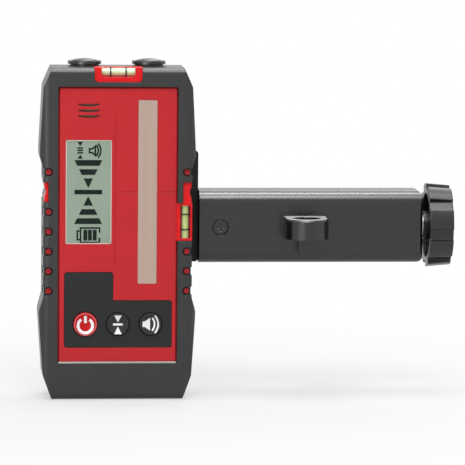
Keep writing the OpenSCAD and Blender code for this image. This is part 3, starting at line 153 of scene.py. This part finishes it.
# Pale pink that paints the highlight on the red button's raised lip.
BUTTON_LIP_HIGHLIGHT = finish_material("button_lip_highlight", (0.66, 0.18, 0.19), 0.4, shift=0.05, **PRINTED)
GLASS = finish_material("display_lens", (0.06, 0.08, 0.07), 0.12, shift=0.02, rough_shift=0.02, alpha=0.04,
                        **CLEAR)
DISPLAY = finish_material("display_glass", (0.31, 0.395, 0.31), 0.35, shift=0.05, mottle=35, **CLEAR)
SEGMENT = finish_material("display_segment", (0.006, 0.012, 0.01), 0.6, shift=0.12, mottle=400, specular=0.1,
                          **CLEAR)
CREAM = finish_material("print_cream", (0.62, 0.55, 0.48), 0.5, shift=0.05, mottle=300, **PRINTED)
# Pale grey that paints the highlight along the bumper's upward-facing lip under the red panel.
PAINTED_LIP_HIGHLIGHT = finish_material("painted_lip_highlight_grey", (0.42, 0.41, 0.38), 0.4, shift=0.06, mottle=250, **PRINTED)
WHITE = finish_material("print_white", (0.85, 0.85, 0.85), 0.5, shift=0.04, mottle=500, **PRINTED)
BACKLIGHT = finish_material("backlight_white", (0.75, 0.75, 0.7), 0.5)
DETECTOR = finish_material("detector_beige", (0.46, 0.33, 0.275), 0.34, shift=0.045, mottle=120, depth=0.003,
                           stretch=(5.0, 1.0, 0.1))
BOARD = finish_material("board_green", (0.012, 0.1, 0.035), 0.4, shift=0.2, mottle=200)
CHIP = finish_material("chip_black", (0.02, 0.02, 0.022), 0.5)
STEEL = finish_material("steel", (0.6, 0.6, 0.62), 0.28, **MACHINED)
DARK_STEEL = finish_material("steel_dark", (0.09, 0.09, 0.095), 0.3, **MACHINED)
BRASS = finish_material("brass", (0.7, 0.5, 0.2), 0.3, **MACHINED)
CELL_WRAP = finish_material("cell_wrap", (0.5, 0.35, 0.1), 0.3, shift=0.06)
VIAL = finish_material("vial_clear", (0.93, 0.95, 0.85), 0.08, shift=0.02, rough_shift=0.02, alpha=0.14,
                       **CLEAR)
SPIRIT = finish_material("spirit_yellow", (0.52, 0.72, 0.04), 0.15, shift=0.06, alpha=0.92, **CLEAR)
SPIRIT_PALE = finish_material("spirit_pale", (0.54, 0.85, 0.43), 0.15, shift=0.1, mottle=400, alpha=0.96,
                              **CLEAR)
BUBBLE = finish_material("bubble_pale", (0.86, 0.92, 0.7), 0.1, shift=0.03, alpha=0.8, **CLEAR)
MESH = finish_material("mesh_brown", (0.16, 0.09, 0.05), 0.5, shift=0.4, mottle=1500)
NYLON = finish_material("nylon_white", (0.72, 0.72, 0.68), 0.45)

NODE_LOOK = {
    "bumper": RUBBER, "front_shell": RED, "rear_shell": BLACK, "shell_seal": SEAL_RUBBER,
    "case_screws": STEEL, "lcd_lens": GLASS, "lcd_glass": DISPLAY, "lcd_backlight": BACKLIGHT,
    "detector_window": DETECTOR, "detector_board": BOARD, "photodiodes": CHIP, "keypad_panel": KEYPAD,
    "power_button": BUTTON_RED, "band_button": BUTTON_BLACK, "sound_button": BUTTON_BLACK,
    "main_board": BOARD, "board_screws": STEEL, "tact_switches": STEEL, "board_components": CHIP,
    "sounder": CHIP, "sounder_mesh": MESH, "battery_door": BLACK, "door_seal": SEAL_RUBBER,
    "cells": CELL_WRAP, "cell_contacts": STEEL, "top_cradle": BRIGHT_RED, "top_vial": VIAL,
    "top_spirit": SPIRIT_PALE, "side_cradle": BRIGHT_RED, "side_vial": VIAL, "side_spirit": SPIRIT,
    "vial_rings": SEAL_RUBBER, "left_mark": BRIGHT_RED, "magnet_cups": BLACK, "magnets": DARK_STEEL,
    "threaded_insert": BRASS, "mount_plate": SHADED_PLATE_BLACK, "arm_screw": BLACK, "captive_washer": NYLON,
    "thumb_screw": BLACK, "clamp_arm": BLACK, "lead_screw": STEEL, "clamp_knob": KNOB_BLACK,
    "knob_cap": KNOB_BLACK, "thrust_washer": STEEL, "retaining_clip": STEEL, "sliding_jaw": BLACK,
    "jaw_nut": BRASS, "fixed_pad": SEAL_RUBBER, "sliding_pad": SEAL_RUBBER, "round_level": VIAL,
    "level_spirit": SPIRIT,
}
for node, look in NODE_LOOK.items():
    NODES[node].data.materials.clear()
    NODES[node].data.materials.append(look)

SHARP_ANGLE = math.radians(40)


def add_piece(name, form, look, body, slot, replaced=None):
    """Turns a bmesh in millimetres into a piece on a body, in place of a CAD node if one is named."""
    bmesh.ops.scale(form, vec=(MM, MM, MM), verts=form.verts[:])
    mesh = bpy.data.meshes.new(name)
    form.to_mesh(mesh)
    form.free()
    mesh.shade_smooth()
    mesh.set_sharp_from_angle(angle=SHARP_ANGLE)
    mesh.materials.append(look)
    piece = bpy.data.objects.new(name, mesh)
    bpy.context.scene.collection.objects.link(piece)
    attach(piece, body)
    if replaced:
        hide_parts(replaced)


def bridge(form, first, second):
    """Joins two rings of points, either of which may be a single point."""
    count = max(len(first), len(second))
    for step in range(count):
        after = (step + 1) % count
        corners = [first[step % len(first)], first[after % len(first)],
                   second[after % len(second)], second[step % len(second)]]
        form.faces.new(list(dict.fromkeys(corners)))


def turned(form, profile, origin, axis, segments=64):
    """Adds a turned form: (radius, distance along the axis) points swept round an axis through the origin."""
    along = Vector(axis)
    across = along.orthogonal().normalized()
    third = along.cross(across)
    turns = [math.tau * step / segments for step in range(segments)]
    rings = []
    for radius, reach in profile:
        middle = Vector(origin) + reach * along
        if radius:
            ways = [math.cos(turn) * across + math.sin(turn) * third for turn in turns]
            rings.append([form.verts.new(middle + radius * way) for way in ways])
        else:
            rings.append([form.verts.new(middle)])
    for first, second in zip(rings, rings[1:]):
        bridge(form, first, second)
    bmesh.ops.recalc_face_normals(form, faces=form.faces[:])


PRINT_THICK = 0.07
PRINT_CUTS = 2
SAME_POINT = 0.001


def flat(y):
    """Depth of a print on a flat surface."""
    return lambda x, z: y


def prints(outlines, depth):
    """Thin closed shapes from convex (x, z) outlines: fronts at y depth(x, z), backs in the surface."""
    form = bmesh.new()
    for outline in outlines:
        form.faces.new([form.verts.new((x, 0.0, z)) for x, z in outline])
    bmesh.ops.triangulate(form, faces=form.faces[:])
    bmesh.ops.subdivide_edges(form, edges=form.edges[:], cuts=PRINT_CUTS, use_grid_fill=True)
    bmesh.ops.remove_doubles(form, verts=form.verts[:], dist=SAME_POINT)
    for vert in form.verts:
        vert.co.y = depth(vert.co.x, vert.co.z)
    shell = bmesh.ops.extrude_face_region(form, geom=form.faces[:], use_keep_orig=True)["geom"]
    backs = [part for part in shell if isinstance(part, bmesh.types.BMVert)]
    bmesh.ops.translate(form, vec=(0.0, PRINT_THICK, 0.0), verts=backs)
    bmesh.ops.recalc_face_normals(form, faces=form.faces[:])
    return form


def shifted(outlines, x, z):
    """Outlines moved to a place."""
    return [[(u + x, v + z) for u, v in outline] for outline in outlines]


def rectangle(x0, x1, z0, z1):
    """Outline of an upright rectangle."""
    return [(x0, z0), (x1, z0), (x1, z1), (x0, z1)]


def wedge(x, half0, z0, half1, z1):
    """Outline between two level edges of given half widths; a half width of 0 makes a triangle."""
    outline = [(x - half0, z0), (x + half0, z0), (x + half1, z1), (x - half1, z1)]
    return list(dict.fromkeys(outline))


MITRE_LIMIT = 0.3


def ribbon(points, width, closed=False):
    """Outlines of a line of even width through points, with mitred corners."""
    spots = [Vector(point) for point in points]
    count = len(spots)
    edges = []
    for index, spot in enumerate(spots):
        ways = []
        if closed or index > 0:
            ways.append((spot - spots[index - 1]).normalized())
        if closed or index < count - 1:
            ways.append((spots[(index + 1) % count] - spot).normalized())
        middle = sum(ways, Vector((0.0, 0.0))).normalized()
        side = Vector((-middle.y, middle.x)) * (width / 2 / max(MITRE_LIMIT, middle.dot(ways[0])))
        edges.append((tuple(spot + side), tuple(spot - side)))
    pairs = list(zip(edges, edges[1:] + edges[:1]))
    return [[a[0], a[1], b[1], b[0]] for a, b in (pairs if closed else pairs[:-1])]


def bow(end_x, half, mid_x, middle_z=0.0, steps=16):
    """Points of an arc through its two ends, a half height above and below the middle, and its mid point."""
    rise = mid_x - end_x
    radius = (half * half + rise * rise) / (2 * rise)
    reach = math.asin(half / radius)
    turns = [reach * (2 * step / steps - 1) for step in range(steps + 1)]
    return [(mid_x - radius + radius * math.cos(turn), middle_z + radius * math.sin(turn)) for turn in turns]


def rounded_loop(x0, x1, z0, z1, radius, steps=6):
    """Points round a rectangle with rounded corners."""
    points = []
    corners = [(x1 - radius, z1 - radius), (x0 + radius, z1 - radius),
               (x0 + radius, z0 + radius), (x1 - radius, z0 + radius)]
    for quarter, (x, z) in enumerate(corners):
        for step in range(steps + 1):
            turn = math.pi / 2 * (quarter + step / steps)
            points.append((x + radius * math.cos(turn), z + radius * math.sin(turn)))
    return points


def box_mm(node):
    """Lowest and highest corner of a CAD node, in millimetres."""
    low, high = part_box(node)
    return low / MM, high / MM


def middle_mm(node):
    """Middle of a CAD node, in millimetres."""
    low, high = box_mm(node)
    return (low + high) / 2


LENS_LOW, LENS_HIGH = box_mm("lcd_lens")
DISPLAY_X, _, GRADE_Z = middle_mm("lcd_lens")
LENS_R = 0.8
LENS_LEAST_R = 0.3
LENS_THICK = 0.3
LENS_EDGE = 0.1
FILM_GAP = 0.05
FILM_Y = LENS_LOW.y + LENS_THICK + FILM_GAP
FILM_PROUD = 0.02
BORDER_WIDTH = 0.5

# The display's marks are in millimetres from a point a little off the middle of the lens.
MARKS_RIGHT = 0.3
MARKS_DOWN = 0.2
MARK_LINE = 0.85
TERMINAL_LINE = 0.8
CENTRE_BAR = rectangle(-7.35, 6.35, -0.95, 1.3)


def arrow_marks():
    """Three marks above the centre bar that narrow towards it, and the same three below."""
    slope = 0.4985
    middle_x = -0.5
    middle_z = 0.2
    tip = 2.0
    outlines = []
    for near, far in [(tip, 6.8), (8.5, 11.35), (13.0, 15.9)]:
        for way in (1, -1):
            near_edge = (slope * (near - tip), middle_z + way * near)
            far_edge = (slope * (far - tip), middle_z + way * far)
            outlines.append(wedge(middle_x, *near_edge, *far_edge))
    return outlines


def band_marks():
    """Small sign of the detection band: two triangles that point at three lines."""
    middle_x = -4.55
    half = 1.4
    half_line = 0.4
    outlines = [wedge(middle_x, half, 25.1, 0, 22.9), wedge(middle_x, half, 16.75, 0, 18.75)]
    for height in (22.05, 20.85, 19.65):
        outlines.append(rectangle(middle_x - half, middle_x + half, height - half_line, height + half_line))
    return outlines


def speaker_marks():
    """Small loudspeaker in outline with two sound waves."""
    cabinet = [(0.04, 19.75), (1.42, 19.75), (2.9, 18.4), (2.9, 22.95), (1.42, 21.65), (0.04, 21.65)]
    outlines = ribbon(cabinet, MARK_LINE, closed=True)
    outlines += ribbon(bow(3.4, 2.7, 4.35, 20.8), MARK_LINE)
    outlines += ribbon(bow(4.25, 3.5, 5.6, 20.75), MARK_LINE)
    return outlines


def battery_marks():
    """Battery in outline with its terminal on the left and three bars."""
    body = [(5.13, -22.5), (5.13, -24.88), (-4.23, -24.88), (-4.23, -17.68), (5.13, -17.68), (5.13, -20.1)]
    terminal = [(-4.5, -23.5), (-5.85, -23.5), (-5.85, -19.15), (-4.5, -19.15)]
    bar_width = 1.95
    outlines = ribbon(body, MARK_LINE) + ribbon(terminal, TERMINAL_LINE)
    outlines += [rectangle(left, left + bar_width, -23.95, -18.55) for left in (-2.8, -0.55, 1.8)]
    return outlines


display_outlines = arrow_marks() + band_marks() + speaker_marks() + battery_marks() + [CENTRE_BAR]
display_outlines = shifted(display_outlines, DISPLAY_X + MARKS_RIGHT, GRADE_Z - MARKS_DOWN)
add_piece("display_marks", prints(display_outlines, flat(FILM_Y - FILM_PROUD)), SEGMENT, "receiver",
          "display_glass")


def lens_loop(inset):
    """Points round the display lens, a little inside its edge."""
    return rounded_loop(LENS_LOW.x + inset, LENS_HIGH.x - inset, LENS_LOW.z + inset, LENS_HIGH.z - inset,
                        max(LENS_LEAST_R, LENS_R - inset))


def plate_form(loop, front, back, bevel):
    """Flat plate of an outline, with a bevelled front edge."""
    middle = sum((Vector(point) for point in loop), Vector((0.0, 0.0))) / len(loop)
    form = bmesh.new()
    rings = []
    for depth, inset in [(front, bevel), (front + bevel, 0.0), (back, 0.0)]:
        ring = []
        for point in loop:
            way = (Vector(point) - middle).normalized()
            ring.append(form.verts.new((point[0] - inset * way.x, depth, point[1] - inset * way.y)))
        rings.append(ring)
    for first, second in zip(rings, rings[1:]):
        bridge(form, first, second)
    form.faces.new(rings[0])
    form.faces.new(rings[-1])
    bmesh.ops.recalc_face_normals(form, faces=form.faces[:])
    return form


add_piece("lens_plate", plate_form(lens_loop(0.0), LENS_LOW.y, LENS_LOW.y + LENS_THICK, LENS_EDGE), GLASS,
          "receiver", "display_lens", replaced="lcd_lens")
add_piece("display_film", plate_form(lens_loop(0.0), FILM_Y, LENS_HIGH.y, LENS_EDGE), DISPLAY, "receiver",
          "display_glass")
border = ribbon(lens_loop(BORDER_WIDTH / 2), BORDER_WIDTH, closed=True)
add_piece("display_border", prints(border, flat(LENS_LOW.y - FILM_PROUD)), CREAM, "receiver", "display_lens")

BUTTON_Z = middle_mm("power_button").z
BUTTON_FRONT = box_mm("power_button")[0].y
BUTTON_BACK = box_mm("power_button")[1].y
DISH = 1.0
DISH_STEPS = 8
LIP = 0.7
FLANGE_OUT = 1.35
FLANGE_THICK = 0.9
STEM_R = 1.83
STEM_LENGTH = 0.4
CAP_PROUD = 0.03
RING_R = 5.4
RING_WIDTH = 0.3


def button_form(x, cap_d):
    """Push button with a dished cap, a flange behind the panel and a short stem."""
    rim = cap_d / 2
    dish_r = rim - LIP
    shares = [step / DISH_STEPS for step in range(DISH_STEPS + 1)]
    dish = [(dish_r * share, BUTTON_FRONT + DISH * (1 - share ** 2)) for share in shares]
    lip = [(rim - inset, BUTTON_FRONT + depth)
           for inset, depth in [(0.5, -0.02), (0.25, 0.05), (0.07, 0.2), (0.0, 0.45)]]
    flange_back = BUTTON_BACK - STEM_LENGTH
    flange_front = flange_back - FLANGE_THICK
    flange_r = rim + FLANGE_OUT
    foot = [(rim, flange_front), (flange_r, flange_front), (flange_r, flange_back), (STEM_R, flange_back),
            (STEM_R, BUTTON_BACK), (0, BUTTON_BACK)]
    form = bmesh.new()
    turned(form, dish + lip + foot, (x, 0, BUTTON_Z), (0, 1, 0))
    return form


def dish_depth(x, cap_d):
    """Depth of a print on a dished cap."""
    dish_r = cap_d / 2 - LIP

    def depth(place_x, place_z):
        share = ((place_x - x) ** 2 + (place_z - BUTTON_Z) ** 2) / dish_r ** 2
        return BUTTON_FRONT + DISH * (1 - share) - CAP_PROUD
    return depth


def power_sign():
    """Open ring with an upright bar in its gap."""
    steps = 40
    gap_end = 124
    sweep = 292
    radius = 3.6
    line = 1.4
    lowered = 0.6
    turns = [math.radians(gap_end + sweep * step / steps) for step in range(steps + 1)]
    ring = [(radius * math.cos(turn), radius * math.sin(turn) - lowered) for turn in turns]
    return ribbon(ring, line) + [rectangle(-0.65, 0.75, 0.57, 4.26)]


def band_sign():
    """Two triangles that point at a bar."""
    half = 1.87
    return [wedge(0, half, 4.47, 0, 0.97), rectangle(-2.4, 2.4, -0.65, 0.4), wedge(0, half, -4.86, 0, -1.17)]


def sound_sign():
    """Loudspeaker with two sound waves."""
    line = 0.85
    cabinet = [rectangle(-3.97, -2.9, -1.36, 1.36), [(-2.9, -1.36), (-0.2, -3.2), (-0.2, 3.2), (-2.9, 1.36)]]
    return cabinet + ribbon(bow(0.78, 3.2, 2.0), line) + ribbon(bow(2.1, 4.3, 3.8), line)


for name, cap_d, look, slot, sign in [
    ("power", 11.7, BUTTON_RED, "button_red", power_sign()),
    ("band", 11.0, BUTTON_BLACK, "button_black", band_sign()),
    ("sound", 11.0, BUTTON_BLACK, "button_black", sound_sign()),
]:
    body = name + "_key"
    x = middle_mm(name + "_button").x
    add_piece(name + "_cap", button_form(x, cap_d), look, body, slot, replaced=name + "_button")
    add_piece(name + "_sign", prints(shifted(sign, x, BUTTON_Z), dish_depth(x, cap_d)), WHITE, body, slot)


def power_lip_highlight():
    """Painted highlight: a pale line round the lip of the red button, where the raised lip catches the light.
    """
    steps = 64
    turns = [math.tau * step / steps for step in range(steps)]
    points = [(RING_R * math.cos(turn), RING_R * math.sin(turn)) for turn in turns]
    return ribbon(points, RING_WIDTH, closed=True)


# The line paints the light caught by the red button's lip.
ring_outlines = shifted(power_lip_highlight(), middle_mm("power_button").x, BUTTON_Z)
add_piece("power_lip_highlight", prints(ring_outlines, flat(BUTTON_FRONT - CAP_PROUD)), BUTTON_LIP_HIGHLIGHT, "power_key",
          "button_red")

PITCH = 4.0
CREST_R = 4.0
THREAD_DEPTH = 0.85
FADE = 2.0
# Half of the crest and one flank, as shares of the pitch.
HALF_CREST = 0.16
FLANK = 0.14
JOURNAL_R = 3.0
JOURNAL_LENGTH = 7.7
COLLAR_R = 7.0
COLLAR_LENGTH = 3.0
COLLAR_TO_WASHER = 4.85
SCREW_EDGE = 0.4
THREAD_STEP = 0.25
THREAD_AROUND = 48


def lead_screw_form():
    """Screw with a left-hand thread, a plain journal at its far end and a collar by the knob."""
    _, axis_y, axis_z = middle_mm("lead_screw")
    tail, tip = (corner.x for corner in box_mm("lead_screw"))
    collar_end = box_mm("thrust_washer")[0].x - COLLAR_TO_WASHER
    start = tail + JOURNAL_LENGTH
    end = collar_end - COLLAR_LENGTH
    steps = int((end - start) / THREAD_STEP)

    def thread_radius(x, turn):
        phase = ((x - start) / PITCH + turn / math.tau) % 1.0
        flank = min(1.0, max(0.0, (abs(phase - 0.5) - HALF_CREST) / FLANK))
        fade = min(1.0, (x - start) / FADE, (end - x) / FADE)
        return CREST_R - THREAD_DEPTH * flank * max(0.0, fade)

    def plain(x, radius):
        return x, lambda place, turn: radius

    stations = [plain(tail, JOURNAL_R - SCREW_EDGE), plain(tail + SCREW_EDGE, JOURNAL_R),
                plain(start, JOURNAL_R)]
    stations += [(start + (end - start) * step / steps, thread_radius) for step in range(steps + 1)]
    stations += [plain(end, COLLAR_R - SCREW_EDGE), plain(end + SCREW_EDGE, COLLAR_R),
                 plain(collar_end - SCREW_EDGE, COLLAR_R), plain(collar_end, COLLAR_R - SCREW_EDGE),
                 plain(collar_end, CREST_R), plain(tip - SCREW_EDGE, CREST_R),
                 plain(tip, CREST_R - SCREW_EDGE)]
    form = bmesh.new()
    turns = [math.tau * step / THREAD_AROUND for step in range(THREAD_AROUND)]
    rings = [[form.verts.new((tail, axis_y, axis_z))]]
    for x, radius in stations:
        ring = []
        for turn in turns:
            reach = radius(x, turn)
            ring.append(form.verts.new((x, axis_y + reach * math.cos(turn), axis_z + reach * math.sin(turn))))
        rings.append(ring)
    rings.append([form.verts.new((tip, axis_y, axis_z))])
    for first, second in zip(rings, rings[1:]):
        bridge(form, first, second)
    bmesh.ops.recalc_face_normals(form, faces=form.faces[:])
    return form


add_piece("lead_screw_thread", lead_screw_form(), STEEL, "knob_set", "steel", replaced="lead_screw")

RIBS = 10
RIB_DEPTH = 0.6
# Where the flat of a rib starts and ends, as shares of the ribs' pitch.
RIB_FLAT = (0.3, 0.7)


def pad_form(node, way):
    """Jaw pad with upright ribs on its gripping face, which looks along X, 1, or against it, -1."""
    low, high = box_mm(node)
    back_x, face_x = (low.x, high.x) if way > 0 else (high.x, low.x)
    groove_x = face_x - RIB_DEPTH * way
    pitch = (high.y - low.y) / RIBS
    row = [(back_x, low.y)]
    for rib in range(RIBS):
        left = low.y + rib * pitch
        row.append((groove_x, left))
        row += [(face_x, left + share * pitch) for share in RIB_FLAT]
    row += [(groove_x, high.y), (back_x, high.y)]
    form = bmesh.new()
    lower = [form.verts.new((x, y, low.z)) for x, y in row]
    upper = [form.verts.new((x, y, high.z)) for x, y in row]
    bridge(form, lower, upper)
    form.faces.new(lower)
    form.faces.new(upper)
    bmesh.ops.recalc_face_normals(form, faces=form.faces[:])
    return form


for node, way, body in [("fixed_pad", 1, "receiver"), ("sliding_pad", -1, "jaw_set")]:
    add_piece(node + "_ribbed", pad_form(node, way), SEAL_RUBBER, body, "rubber_black", replaced=node)

LEVEL_TO_ARM = 10.7
RIM_OVER_LEVEL = 2.5
RIM_INSET = 0.65
RIM_HOLE_R = 7.1
RIM_THICK = 0.25
RIM_EDGE = 0.1
RIM_AROUND = 96
LEAST_COSINE = 1e-6


def painted_rim_highlight_form():
    """Painted highlight on top of the round level's cup: a thin pale plate with a hole, round in front and
    straight at the arm.
    """
    middle = middle_mm("round_level")
    base = box_mm("round_level")[1].z + RIM_OVER_LEVEL
    outer = middle.y - box_mm("clamp_arm")[0].y - RIM_INSET
    turns = [math.tau * step / RIM_AROUND for step in range(RIM_AROUND)]

    def reach(turn):
        if math.sin(turn) <= 0:
            return outer
        sideways = outer / max(abs(math.cos(turn)), LEAST_COSINE)
        return min(sideways, LEVEL_TO_ARM / math.sin(turn))

    def ring(height, radius):
        points = []
        for turn in turns:
            way = Vector((math.cos(turn), math.sin(turn), 0.0))
            place = Vector((middle.x, middle.y, height)) + radius(turn) * way
            points.append(form.verts.new(place))
        return points

    form = bmesh.new()
    top = base + RIM_THICK
    loops = [ring(base, reach), ring(top, lambda turn: reach(turn) - RIM_EDGE),
             ring(top, lambda turn: RIM_HOLE_R + RIM_EDGE), ring(base, lambda turn: RIM_HOLE_R)]
    for first, second in zip(loops, loops[1:] + loops[:1]):
        bridge(form, first, second)
    bmesh.ops.recalc_face_normals(form, faces=form.faces[:])
    return form


# The rim plate's pale colour paints the highlight on the cup's top edge.
add_piece("painted_rim_highlight", painted_rim_highlight_form(), RIM, "receiver", "black_plastic")

PAINTED_LIP_HIGHLIGHT_ENDS = (-29.2, 29.2)
PANEL_FOOT = 19.1
# The painted highlight strip's section, as (y from the bumper's front, z from the panel's foot).
PAINTED_LIP_HIGHLIGHT_SECTION = [(-0.1, -0.85), (-0.2, -0.5), (-0.1, -0.05), (0.95, -0.05), (0.95, -0.35), (0.0, -0.35),
                (0.0, -0.85)]


def painted_lip_highlight_form():
    """Painted highlight: a pale strip along the panel's lower edge, where the bumper's lip faces up into the
    light, as a facing on the lip with a tongue behind it.
    """
    front = box_mm("bumper")[0].y
    section = [(front + y, PANEL_FOOT + z) for y, z in PAINTED_LIP_HIGHLIGHT_SECTION]
    form = bmesh.new()
    ends = [[form.verts.new((x, y, z)) for y, z in section] for x in PAINTED_LIP_HIGHLIGHT_ENDS]
    bridge(form, *ends)
    form.faces.new(ends[0])
    form.faces.new(ends[1])
    bmesh.ops.recalc_face_normals(form, faces=form.faces[:])
    return form


# The strip's pale colour paints the highlight of the bumper's lip.
add_piece("painted_lip_highlight", painted_lip_highlight_form(), PAINTED_LIP_HIGHLIGHT, "receiver", "rubber_grey")

BUBBLE_STEPS = 8
BUBBLE_AROUND = 32


def capsule(length, radius):
    """Half outline of a bubble with round ends."""
    turns = [math.pi / 2 * step / BUBBLE_STEPS for step in range(BUBBLE_STEPS + 1)]
    start = [(radius * math.sin(turn), -length / 2 + radius * (1 - math.cos(turn))) for turn in turns]
    return start + [(across, -along) for across, along in reversed(start)]


def bubble_form(length, radius, origin, axis):
    """Air bubble of a level."""
    form = bmesh.new()
    turned(form, capsule(length, radius), origin, axis, segments=BUBBLE_AROUND)
    return form


for name, node, length, radius, axis in [
    ("top_bubble", "top_spirit", 6.0, 1.35, (1, 0, 0)),
    ("side_bubble", "side_spirit", 5.6, 1.2, (0, 0, 1)),
]:
    add_piece(name, bubble_form(length, radius, middle_mm(node), axis), BUBBLE, "receiver", "spirit_yellow")

# From here on, lengths are in metres.
LIGHT_TARGET = Vector((0.06, 0.0, 0.085))


def area_light(name, azimuth, elevation, distance, size, power):
    """Soft box at an elevation and an azimuth in degrees, counted from the front towards the right."""
    data = bpy.data.lights.new(name, "AREA")
    data.shape = "RECTANGLE"
    data.size = size[0]
    data.size_y = size[1]
    data.energy = power
    light = bpy.data.objects.new(name, data)
    turn = math.radians(azimuth)
    rise = math.radians(elevation)
    way = Vector((math.sin(turn) * math.cos(rise), -math.cos(turn) * math.cos(rise), math.sin(rise)))
    light.location = LIGHT_TARGET + distance * way
    light.rotation_euler = (-way).to_track_quat("-Z", "Y").to_euler()
    bpy.context.scene.collection.objects.link(light)


def white_to_view(tree, lit, output, share=None):
    """Shows plain white to the camera, in reflections and through glass, and the lit shader to all else.

    A share below 1 leaves the rest of the lit shader in view, so that it keeps a shadow."""
    path = tree.nodes.new("ShaderNodeLightPath")
    seen = path.outputs["Is Camera Ray"]
    factors = [("MAXIMUM", path.outputs["Is Glossy Ray"]), ("MAXIMUM", path.outputs["Is Transmission Ray"])]
    if share:
        factors.append(("MULTIPLY", share))
    for operation, factor in factors:
        step = tree.nodes.new("ShaderNodeMath")
        step.operation = operation
        tree.links.new(seen, step.inputs[0])
        tree.links.new(factor, step.inputs[1])
        seen = step.outputs["Value"]
    glow = tree.nodes.new("ShaderNodeEmission")
    mix = tree.nodes.new("ShaderNodeMixShader")
    tree.links.new(seen, mix.inputs["Fac"])
    tree.links.new(lit, mix.inputs[1])
    tree.links.new(glow.outputs["Emission"], mix.inputs[2])
    tree.links.new(mix.outputs["Shader"], output.inputs["Surface"])


FLOOR_COLOUR = (0.5, 0.5, 0.5, 1.0)
FLOOR_ROUGH = 0.9
FLOOR_Z = -0.0003
FLOOR_REACH = 3.0
# The floor's share of plain white rises from the least near the object to the full share further off.
SHADOW_NEAR = 0.1
SHADOW_FAR = 0.35
LEAST_WHITE = 0.6
FULL_WHITE = 1.0


def floor_material():
    """Pale floor that keeps a faint shadow near the object and is plain white further off."""
    made = bpy.data.materials.new("floor_white")
    made.use_nodes = True
    tree = made.node_tree
    shader = tree.nodes["Principled BSDF"]
    shader.inputs["Base Color"].default_value = FLOOR_COLOUR
    shader.inputs["Roughness"].default_value = FLOOR_ROUGH
    away = tree.nodes.new("ShaderNodeVectorMath")
    away.operation = "LENGTH"
    tree.links.new(tree.nodes.new("ShaderNodeTexCoord").outputs["Object"], away.inputs[0])
    share = tree.nodes.new("ShaderNodeMapRange")
    share.inputs["From Min"].default_value = SHADOW_NEAR
    share.inputs["From Max"].default_value = SHADOW_FAR
    share.inputs["To Min"].default_value = LEAST_WHITE
    share.inputs["To Max"].default_value = FULL_WHITE
    tree.links.new(away.outputs["Value"], share.inputs["Value"])
    white_to_view(tree, shader.outputs["BSDF"], tree.nodes["Material Output"], share.outputs["Result"])
    return made


def add_floor():
    """Level floor just under the object, which is no part of it."""
    corners = [(x, y, FLOOR_Z) for x, y in rectangle(-FLOOR_REACH, FLOOR_REACH, -FLOOR_REACH, FLOOR_REACH)]
    floor_mesh = bpy.data.meshes.new("floor")
    floor_mesh.from_pydata(corners, [], [(0, 1, 2, 3)])
    floor = bpy.data.objects.new("floor", floor_mesh)
    bpy.context.scene.collection.objects.link(floor)
    floor_mesh.materials.append(floor_material())


WORLD_WHITE = (1.0, 1.0, 1.0, 1.0)
WORLD_STRENGTH = 0.12


def add_world():
    """White surroundings that light the object only a little."""
    world = bpy.data.worlds.new("studio")
    bpy.context.scene.world = world
    world.use_nodes = True
    tree = world.node_tree
    background = tree.nodes["Background"]
    background.inputs["Color"].default_value = WORLD_WHITE
    background.inputs["Strength"].default_value = WORLD_STRENGTH
    white_to_view(tree, background.outputs["Background"], tree.nodes["World Output"])


CAMERA_LENS = 300.0
CAMERA_SENSOR = 36.0
CAMERA_CLIP = 20.0
CAMERA_TARGET = Vector((0.05823, 0.0, 0.08192))
CAMERA_BACK = Vector((-0.08665, -0.99036, 0.1080)).normalized()
CAMERA_DISTANCE = 1.9375
CAMERA_ROLL = math.radians(0.5)


def add_camera():
    """Camera of the photograph, which looks almost straight at the front."""
    scene = bpy.context.scene
    camera_data = bpy.data.cameras.new("camera")
    camera_data.lens = CAMERA_LENS
    camera_data.sensor_width = CAMERA_SENSOR
    camera_data.clip_end = CAMERA_CLIP
    camera = bpy.data.objects.new("camera", camera_data)
    roll = Quaternion((0.0, 0.0, 1.0), CAMERA_ROLL)
    camera.location = CAMERA_TARGET + CAMERA_DISTANCE * CAMERA_BACK
    camera.rotation_euler = ((-CAMERA_BACK).to_track_quat("-Z", "Y") @ roll).to_euler()
    scene.collection.objects.link(camera)
    scene.camera = camera


add_world()
add_floor()
# Name, azimuth, elevation, distance, width and height, power.
for lamp in [
    ("top_box", -5, 58, 2.2, (0.9, 1.2), 40.0),
    ("over_box", 180, 84, 2.0, (1.0, 0.7), 34.0),
    ("rear_box", 160, 40, 2.0, (1.0, 0.8), 8.0),
    ("left_box", -52, 20, 1.4, (0.3, 0.6), 0.4),
    ("right_box", 80, 20, 1.4, (0.3, 0.6), 1.2),
    ("low_box", -30, 2, 1.0, (0.5, 0.1), 1.4),
]:
    area_light(*lamp)
add_camera()
bpy.context.scene.view_settings.view_transform = "Standard"
